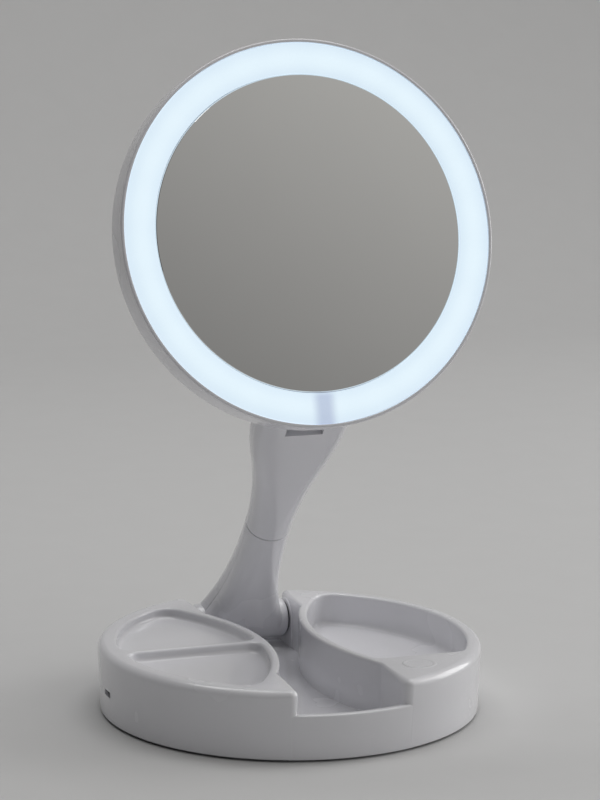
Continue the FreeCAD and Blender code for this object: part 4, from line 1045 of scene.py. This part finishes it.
rear = bmesh.new()
rear_profile = dish(REAR_GLASS_FACE, *REAR_LEVELS, DISH_STEPS)
rear_profile += reversed(dish(REAR_GLASS, *INNER_LEVELS, DISH_STEPS))
rear_profile.append(complex(REAR_GLASS, REAR_CHAMFER))
turned(rear, rear_profile, forward, SHELL_STEPS)
piece("magnifying_glass", rear, DISC_FRAME, "mirror_glass", "head", "magnifying_mirror", sharp=25)

# %% [markdown]
# ## The stem
# The stem is two mouldings, front and rear, split along its sides, and it is cut across at a swivel. Its
# cross-section changes all the way: a wide barrel at the hinge, a round neck at the swivel, and two wide
# flat ears at the head. It is drawn as half sections joined along the stem. A small round on the split
# edges gives the fine line that shows along the sides of the real one.

# %% Sections of the stem
SEAM_LOW, SEAM_HIGH = 69.8, 70.2
SEAM_RADIUS = 10.2
SEAM_ROUND = 0.3
BARREL_WIDTH = 22.4
BARREL_RADIUS = 9.3
LOWER_FLARE = 2.9
REAR_SLOT, FRONT_SLOT = 134.0, 137.9
EAR = 7.8
EAR_WIDTH = 21.4
EAR_FACE = 8.6
EAR_END = 152.0
STEM_ARC = 155
STEM_END = 80.9


def lower_size(station):
    """Half width, half thickness and corner radius of the lower stem at a station along it."""
    along = station / SEAM_LOW
    half_width = SEAM_RADIUS + (BARREL_WIDTH - SEAM_RADIUS) * (1 - along) ** LOWER_FLARE
    half_thickness = BARREL_RADIUS + (SEAM_RADIUS - BARREL_RADIUS) * along
    return half_width, half_thickness, half_thickness * (0.6 + 0.39 * along)


def upper_size(station):
    """The same for the upper stem, whose end is round about the head's hinge."""
    along = min((station - SEAM_HIGH) / (REAR_SLOT - SEAM_HIGH), 1.0)
    run = STEM_LENGTH - SEAM_HIGH
    half_width = two_arcs(station - SEAM_HIGH, SEAM_RADIUS, EAR_WIDTH, run, STEM_ARC)[0]
    half_thickness = SEAM_RADIUS + (EAR - SEAM_RADIUS) * along
    corner = min(half_width, half_thickness) * (0.99 - 0.24 * along)
    past = max(0.0, station - STEM_LENGTH)
    if past:
        half_thickness = math.sqrt(max(EAR**2 - past**2, 0.5))
        half_width = min(half_width, math.sqrt(STEM_END**2 - (station - STEM_HINGE.y) ** 2))
    return half_width, half_thickness, corner


def half_section(size, station, side, trim):
    """Half of a section, to the front (-1) or the rear (1)."""
    half_width, half_thickness, corner = size
    half_width, half_thickness = half_width - trim, half_thickness - trim
    corner = min(corner, half_thickness - SEAM_ROUND * 1.2)
    corners = [(-half_width, 0, SEAM_ROUND), (half_width, 0, SEAM_ROUND)]
    corners += [(half_width, half_thickness, corner), (-half_width, half_thickness, corner)]
    return [Vector((point.real, side * point.imag, station)) for point in rounded_corners(corners, 8)]


def stations(low, high, count):
    return [low + (high - low) * step / count for step in range(count + 1)]


def eased(low, high, count, seam_low=False, seam_high=False):
    """Stations with the trim of a small round where the stem ends at the swivel."""
    steps = [(station, 0.0) for station in stations(low, high, count)]
    round_off = [(0.0, SEAM_ROUND), (SEAM_ROUND * 0.3, SEAM_ROUND * 0.3), (SEAM_ROUND, 0.0)]
    if seam_low:
        steps[:1] = [(low + along, trim) for along, trim in round_off]
    if seam_high:
        steps[-1:] = [(high - along, trim) for along, trim in reversed(round_off)]
    return steps


print("section at the swivel", [round(number, 1) for number in upper_size(SEAM_HIGH)])

# %% [markdown]
# ### Lower stem
# The lower stem turns on the hinge pin, so it ends in a barrel across the base. The barrel is drawn
# whole, with rounded ends, and halved at the split, and then a Boolean joins it to the stem. It is a hair
# smaller than the stem there, because a Boolean is surest where no two faces lie in one plane. A bore
# takes the sleeve in which the upper stem swivels.

# %% Lower stem
HAIR = 0.02
FAR = 30
BARREL_ROUND = 2.6
PIN_BORE, PIN_REACH = 2.55, 25
SLEEVE_BORE, SLEEVE_LOW, SLEEVE_HIGH = 7.7, 50, 72
SCREW_HOLE, SCREW_DEPTH, SCREW_CLEAR = 2.75, 3.0, 7.0
LOWER_SCREW = 33.5
UPPER_SCREWS = [92.94, 111.1]


def along_stem(level, first, second):
    return first, second, level


def through_stem(level, first, second):
    return first, level, second


def half_space(side):
    """A block over everything in front (-1) or to the rear (1) of the stem's split, and a hair more."""
    bm = bmesh.new()
    near, far = sorted((-side * HAIR, side * FAR))
    corners = [complex(near, -FAR), complex(far, -FAR), complex(far, FAR), complex(near, FAR)]
    slab(bm, corners, -FAR, FAR, CUT_HAIR, across)
    return bm


def lower_half(side, *cutters):
    bm = bmesh.new()
    steps = eased(0.0, SEAM_LOW, 44, seam_high=True)
    loft(bm, [half_section(lower_size(station), station, side, trim) for station, trim in steps])
    barrel = bmesh.new()
    half = BARREL_WIDTH - HAIR
    slab(barrel, around_circle(BARREL_RADIUS - HAIR, 80), -half, half, BARREL_ROUND, across)
    barrel = drilled("barrel", barrel, half_space(-side))
    sleeve = rod(SLEEVE_LOW, SLEEVE_HIGH, SLEEVE_BORE, along_stem)
    pin = rod(-PIN_REACH, PIN_REACH, PIN_BORE, across)
    return drilled("lower_half", bm, sleeve, pin, *cutters, added=[barrel])


def screw_hole(station, size):
    """A cutter for the hole that a screw's head sits in, at the rear of the stem."""
    floor = size(station)[1] - SCREW_DEPTH
    return rod(floor, floor + SCREW_CLEAR, SCREW_HOLE, through_stem, complex(0, station), 40)


lower_holes = [screw_hole(LOWER_SCREW, lower_size)]
for end, side, holes in (("front", -1, []), ("rear", 1, lower_holes)):
    drawn = lower_half(side, *holes)
    piece(f"lower_{end}", drawn, STEM_FRAME, "white_gloss", "lower_stem", f"lower_stem_{end}")

# %% [markdown]
# ### Upper stem
# The upper stem widens to two ears that hold the lug of the head between them. It is lofted in one go and
# the slot is taken out with a Boolean, as a saw cut would be, so that the ears run on from the stem
# without a joint.

# %% Upper stem with its ears
SLOT_END = 170


def upper_half(side, *cutters):
    bm = bmesh.new()
    steps = eased(SEAM_HIGH, STEM_LENGTH, 64, seam_low=True)
    steps += [(station, 0.0) for station in stations(STEM_LENGTH, EAR_END, 16)[1:]]
    loft(bm, [half_section(upper_size(station), station, side, trim) for station, trim in steps])
    floor = REAR_SLOT if side > 0 else FRONT_SLOT
    slot = bmesh.new()
    slot_corners = [complex(-EAR_FACE, floor), complex(EAR_FACE, floor)]
    slot_corners += [complex(EAR_FACE, SLOT_END), complex(-EAR_FACE, SLOT_END)]
    slab(slot, slot_corners, -FAR, FAR, CUT_HAIR, through_stem)
    return drilled("upper_half", bm, slot, *cutters)


upper_holes = [screw_hole(station, upper_size) for station in UPPER_SCREWS]
for end, side, holes in (("front", -1, []), ("rear", 1, upper_holes)):
    drawn = upper_half(side, *holes)
    piece(f"upper_{end}", drawn, STEM_FRAME, "white_gloss", "upper_stem", f"upper_stem_{end}")

# %% [markdown]
# ## Pieces that repeat
# Screws, rubber feet and the ribs that grip a thumb on the battery door come in sets: one shape put in
# many places. Each set is grown by a Geometry Nodes tree that is built here, with named inputs for its
# sizes. A copy of a mesh for every screw would look the same, but here a size is changed once for the
# whole set, and a seed turns each slot a little differently, as a screwdriver leaves it.

# %% Building a node tree
class Growth:
    """A geometry node tree that puts copies of one shape in many places."""

    def __init__(self, name, **inputs):
        """Starts the tree, with named inputs of the kinds given and one for the material."""
        self.tree = bpy.data.node_groups.new(name, "GeometryNodeTree")
        self.add_socket("Geometry", "INPUT", "Geometry")
        for label, kind in inputs.items():
            self.add_socket(label.replace("_", " "), "INPUT", kind)
        self.add_socket("Finish", "INPUT", "Material")
        self.add_socket("Geometry", "OUTPUT", "Geometry")
        self.given = self.tree.nodes.new("NodeGroupInput").outputs

    def add_socket(self, label, way, kind):
        self.tree.interface.new_socket(label, in_out=way, socket_type="NodeSocket" + kind)

    def link(self, value, socket):
        """Puts a number, or another node's output, into a socket."""
        if isinstance(value, bpy.types.NodeSocket):
            self.tree.links.new(value, socket)
        else:
            socket.default_value = value

    def step(self, kind, settings=None, output=0, **sockets):
        """One node, with values in its named inputs. Returns one of its outputs."""
        node = self.tree.nodes.new(kind)
        for label, value in (settings or {}).items():
            setattr(node, label, value)
        for label, value in sockets.items():
            for each in value if isinstance(value, list) else [value]:
                self.link(each, node.inputs[label.replace("_", " ")])
        return node.outputs[output]

    def product(self, first, second):
        node = self.tree.nodes.new("ShaderNodeMath")
        node.operation = "MULTIPLY"
        self.link(first, node.inputs[0])
        self.link(second, node.inputs[1])
        return node.outputs[0]

    def close(self, shape):
        """Ends the tree: its copies become one real mesh with its material."""
        real = self.step("GeometryNodeRealizeInstances", Geometry=shape)
        painted = self.step("GeometryNodeSetMaterial", Geometry=real, Material=self.given["Finish"])
        self.tree.links.new(painted, self.tree.nodes.new("NodeGroupOutput").inputs[0])

    def grow(self, points, place, finish_slot, **values):
        """The plain mesh that the tree makes from some points, put in place."""
        name = self.tree.name
        mesh = bpy.data.meshes.new(name)
        mesh.from_pydata(points, [], [])
        made = new_object(name, mesh)
        modifier = made.modifiers.new(name, "NODES")
        modifier.node_group = self.tree
        values["Finish"] = FINISHES[finish_slot]
        for item in self.tree.interface.items_tree:
            if item.in_out == "INPUT" and item.name.replace(" ", "_") in values:
                modifier[item.identifier] = values[item.name.replace(" ", "_")]
        mesh = settled(made)
        mesh.transform(place)
        mesh.set_sharp_from_angle(angle=math.radians(30))
        return mesh


print("tools for node trees ready")

# %% [markdown]
# ### Screws
# A pan-head screw is a low cone with a cross cut into it, on a thin shank. The cross is two bars taken
# away by a Boolean node. The set is drawn with its heads up and then turned: down for the cover of the
# base, backwards for the stem.

# %% Node tree of a screw
BAR_WIDTH = 0.55
screws = Growth(
    "cross_head_screws",
    Head_Radius="Float",
    Head_Height="Float",
    Shank_Radius="Float",
    Shank_Length="Float",
    Seed="Int",
)
head_radius, head_height = screws.given["Head Radius"], screws.given["Head Height"]
shank_length = screws.given["Shank Length"]
top_radius = screws.product(head_radius, 0.8)
cone_sizes = {"Radius_Top": top_radius, "Radius_Bottom": head_radius, "Depth": head_height}
cone = screws.step("GeometryNodeMeshCone", Vertices=36, **cone_sizes)
bar = screws.product(head_radius, 1.1)
bar_depth = screws.product(head_height, 1.2)
head_top = screws.step("ShaderNodeCombineXYZ", Z=head_height)
bars = []
for wide, deep in ((bar, BAR_WIDTH), (BAR_WIDTH, bar)):
    size = screws.step("ShaderNodeCombineXYZ", X=wide, Y=deep, Z=bar_depth)
    block = screws.step("GeometryNodeMeshCube", Size=size)
    bars.append(screws.step("GeometryNodeTransform", Geometry=block, Translation=head_top))
cut = {"operation": "DIFFERENCE", "solver": "EXACT"}
screw_head = screws.step("GeometryNodeMeshBoolean", cut, Mesh_1=cone, Mesh_2=bars)
shank_radius = screws.given["Shank Radius"]
shank = screws.step("GeometryNodeMeshCylinder", Vertices=20, Radius=shank_radius, Depth=shank_length)
shank_down = screws.step("ShaderNodeCombineXYZ", Z=screws.product(shank_length, -0.49))
shank = screws.step("GeometryNodeTransform", Geometry=shank, Translation=shank_down)
screw = screws.step("GeometryNodeJoinGeometry", Geometry=[screw_head, shank])
any_turn = {"data_type": "FLOAT_VECTOR"}
seed = screws.given["Seed"]
spin = screws.step("FunctionNodeRandomValue", any_turn, Min=(0, 0, 0), Max=(0, 0, 3.1), Seed=seed)
spin = screws.step("FunctionNodeEulerToRotation", Euler=spin)
points = screws.given["Geometry"]
screws.close(screws.step("GeometryNodeInstanceOnPoints", Points=points, Instance=screw, Rotation=spin))
print("screw tree of", len(screws.tree.nodes), "nodes")

# %% Screws of the base and the stem
SCREW = {"Head_Radius": 2.6, "Head_Height": 1.2, "Shank_Radius": 1.25, "Shank_Length": 8.0}
FACING_DOWN = Matrix.Rotation(math.pi, 4, "X")
FACING_BACK = Matrix.Rotation(-math.pi / 2, 4, "X")
COVER_SCREWS = [(-32, 60), (-32, -60), (32, 60), (64, -38)]
COVER_SEAT = 2.2


def seats(places, size):
    """Where the heads of the stem's screws sit, at the floors of their holes."""
    middles = [Vector((0, size(station)[1] - SCREW_DEPTH, station)) for station in places]
    return [FACING_BACK.inverted() @ middle for middle in middles]


base_points = [FACING_DOWN.inverted() @ Vector((x, y, COVER_SEAT)) for x, y in COVER_SCREWS]
base_screws = screws.grow(base_points, BASE_FRAME @ FACING_DOWN, "steel", Seed=3, **SCREW)
dressed("cover_screws", base_screws, "steel", "base", "base_screws")
stem_place = STEM_FRAME @ FACING_BACK
lower_screw = screws.grow(seats([LOWER_SCREW], lower_size), stem_place, "steel", Seed=7, **SCREW)
dressed("stem_screw", lower_screw, "steel", "lower_stem", "lower_stem_screw")
upper_screws = screws.grow(seats(UPPER_SCREWS, upper_size), stem_place, "steel", Seed=11, **SCREW)
dressed("stem_screws", upper_screws, "steel", "upper_stem", "upper_stem_screws")

# %% [markdown]
# ### Feet and door ribs
# Four soft feet keep the base from sliding. Each is a short cylinder whose lowest ring is drawn in, so it
# has a chamfer. The door over the batteries has a row of half-round ribs at its free edge, so that a
# thumb can push it. The tongue in the charging socket is a small slab of its own.

# %% Rubber feet
FEET_LEVEL = 0.9
feet = Growth("ring_of_feet", Count="Int", Circle="Float", Foot_Radius="Float", Foot_Height="Float")
foot_radius, foot_height = feet.given["Foot Radius"], feet.given["Foot Height"]
foot = feet.step(
    "GeometryNodeMeshCylinder", Vertices=40, Side_Segments=5, Radius=foot_radius, Depth=foot_height
)
spot = feet.step("GeometryNodeInputPosition")
spots = [feet.step("ShaderNodeSeparateXYZ", output=axis, Vector=spot) for axis in range(3)]
spot_x, spot_y, spot_z = spots
below = feet.product(foot_height, -0.45)
lowest = feet.step("FunctionNodeCompare", {"operation": "LESS_THAN"}, A=spot_z, B=below)
drawn_in = feet.step("ShaderNodeMapRange", Value=lowest, To_Min=1.0, To_Max=0.92)
inner_x, inner_y = feet.product(spot_x, drawn_in), feet.product(spot_y, drawn_in)
chamfered = feet.step("ShaderNodeCombineXYZ", X=inner_x, Y=inner_y, Z=spot_z)
foot = feet.step("GeometryNodeSetPosition", Geometry=foot, Position=chamfered)
circle = feet.step("GeometryNodeMeshCircle", Vertices=feet.given["Count"], Radius=feet.given["Circle"])
feet.close(feet.step("GeometryNodeInstanceOnPoints", Points=circle, Instance=foot))
feet_place = BASE_FRAME @ Matrix.Translation((0, 0, FEET_LEVEL)) @ Matrix.Rotation(math.pi / 4, 4, "Z")
feet_sizes = {"Count": 4, "Circle": 72.0, "Foot_Radius": 5.0, "Foot_Height": 1.8}
dressed("feet", feet.grow([], feet_place, "rubber", **feet_sizes), "rubber", "base", "rubber_feet")

# %% Door ribs and socket tongue
RIB_START = (-66.0, 0, 1.15)
TONGUE_MIDDLE, TONGUE_HALF, TONGUE_ROUND = complex(-2.2, 13.45), complex(2.4, 0.25), 0.12
TONGUE_FROM, TONGUE_TO, TONGUE_EDGE = -82.3, -78.6, 0.08
ribs = Growth("grip_ribs", Count="Int", Spacing="Float", Rib_Radius="Float", Rib_Length="Float")
rib_radius, rib_length = ribs.given["Rib Radius"], ribs.given["Rib Length"]
rib = ribs.step("GeometryNodeMeshCylinder", Vertices=20, Radius=rib_radius, Depth=rib_length)
rib = ribs.step("GeometryNodeTransform", Geometry=rib, Rotation=(math.pi / 2, 0, 0))
spacing = ribs.step("ShaderNodeCombineXYZ", X=ribs.given["Spacing"])
row = ribs.step("GeometryNodeMeshLine", Count=ribs.given["Count"], Offset=spacing)
ribs.close(ribs.step("GeometryNodeInstanceOnPoints", Points=row, Instance=rib))
rib_sizes = {"Count": 5, "Spacing": 2.2, "Rib_Radius": 0.5, "Rib_Length": 22.0}
rib_mesh = ribs.grow([], BASE_FRAME @ Matrix.Translation(RIB_START), "white_matte", **rib_sizes)
dressed("door_ribs", rib_mesh, "white_matte", "battery_door")
tongue = bmesh.new()
tongue_outline = rounded_corners(box_corners(TONGUE_MIDDLE, TONGUE_HALF, TONGUE_ROUND), 3)
slab(tongue, tongue_outline, TONGUE_FROM, TONGUE_TO, TONGUE_EDGE, across)
piece("socket_tongue", tongue, BASE_FRAME, "bearing_plastic", "base")

# %% [markdown]
# ## The nodes that stay
# Pins, bearings, boards and cells are plain shapes inside the object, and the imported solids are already
# right. They keep their meshes and take the finish of their material slot. The indicator is dark when the
# mirror isn't charging, so its light pipe is plain white plastic and doesn't glow.

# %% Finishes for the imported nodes
UNLIT = {"indicator_light_pipe": "white_matte"}
for row in frame["record"]["subparts"]:
    materials = NODES[row["node"]].data.materials
    materials.clear()
    materials.append(FINISHES[UNLIT.get(row["node"], row["material_slot"])])

# %% [markdown]
# ## The stage
# A seamless pale sheet, level under the object and curving up behind it, gives the plain background of a
# product picture. It is clear from its back, so that views from below or behind show the object. A large
# soft lamp hangs above, a little behind, and another stands to the right, which lights the right side of
# the walls. The sky is a slow gradient, which fills the shadows and is what the mirror shows.

# %% Backdrop
PAPER_FRONT, PAPER_BEND, PAPER_TOP, PAPER_HALF = -3.0, 0.9, 3.0, 3.5
BEND_RADIUS, BEND_STEPS = 0.7, 24
PAPER, PAPER_DARK, PAPER_LIGHT = (0.59, 0.59, 0.592), (0.58, 0.58, 0.582, 1), (0.60, 0.60, 0.602, 1)


def backdrop():
    profile = [(PAPER_FRONT, 0.0), (PAPER_BEND, 0.0)]
    for index in range(1, BEND_STEPS + 1):
        turn = math.pi / 2 * index / BEND_STEPS
        profile.append((PAPER_BEND + BEND_RADIUS * math.sin(turn), BEND_RADIUS * (1 - math.cos(turn))))
    profile.append((PAPER_BEND + BEND_RADIUS, PAPER_TOP))
    bm = bmesh.new()
    rings = [[Vector((x, y, z)) for y, z in profile] for x in (-PAPER_HALF, PAPER_HALF)]
    join_rings(bm, rings, around=False)
    mesh = as_mesh("backdrop", bm)
    mesh.flip_normals()
    mesh.materials.append(clear_from_behind())
    new_object("backdrop", mesh)


def clear_from_behind():
    """Paper whose back side lets everything show through."""
    place, feed = finish("paper", PAPER, 0.7)
    paper = feed(Base_Color=place.noise(40, 3).mix(PAPER_DARK, PAPER_LIGHT))
    links = paper.node_tree.links
    end = paper.node_tree.nodes["Material Output"].inputs["Surface"]
    front = end.links[0].from_socket
    behind = place.node("ShaderNodeNewGeometry", output="Backfacing")
    clear = place.node("ShaderNodeBsdfTransparent")
    mixed = place.node("ShaderNodeMixShader", Fac=behind, _2=clear)
    links.new(front, mixed.socket.node.inputs[1])
    links.new(mixed.socket, end)
    return paper


backdrop()
print("backdrop set")

# %% Lamps and sky
LAMP_AIM = (0, 0, 0.1)
SKY_LOW, SKY_HIGH = (0.09, 0.09, 0.09, 1), (0.72, 0.71, 0.69, 1)


def lamp(name, place, size, power):
    light = bpy.data.lights.new(name, "AREA")
    light.shape = "RECTANGLE"
    light.size, light.size_y = size
    light.energy = power
    made = new_object(name, light)
    made.location = place
    made.rotation_euler = (Vector(LAMP_AIM) - Vector(place)).to_track_quat("-Z", "Y").to_euler()


lamp("overhead", place=(0.1, 0.35, 1.5), size=(1.4, 0.7), power=7.2)
lamp("right", place=(1.5, 0.1, 0.55), size=(0.9, 0.9), power=6.0)
sky = bpy.data.worlds.new("sky")
sky.use_nodes = True
bpy.context.scene.world = sky
tree = sky.node_tree
background = tree.nodes["Background"].inputs
way = Formula(tree, tree.nodes.new("ShaderNodeTexCoord").outputs["Generated"])
aside, above = way.axes("XZ")
height = (above + aside * 0.8).ramp(0.38, 0.95)
tree.links.new(height.mix(SKY_LOW, SKY_HIGH).socket, background["Color"])
background["Strength"].default_value = 1.0
bpy.context.scene.view_settings.view_transform = "Standard"
print("lamps and sky set")
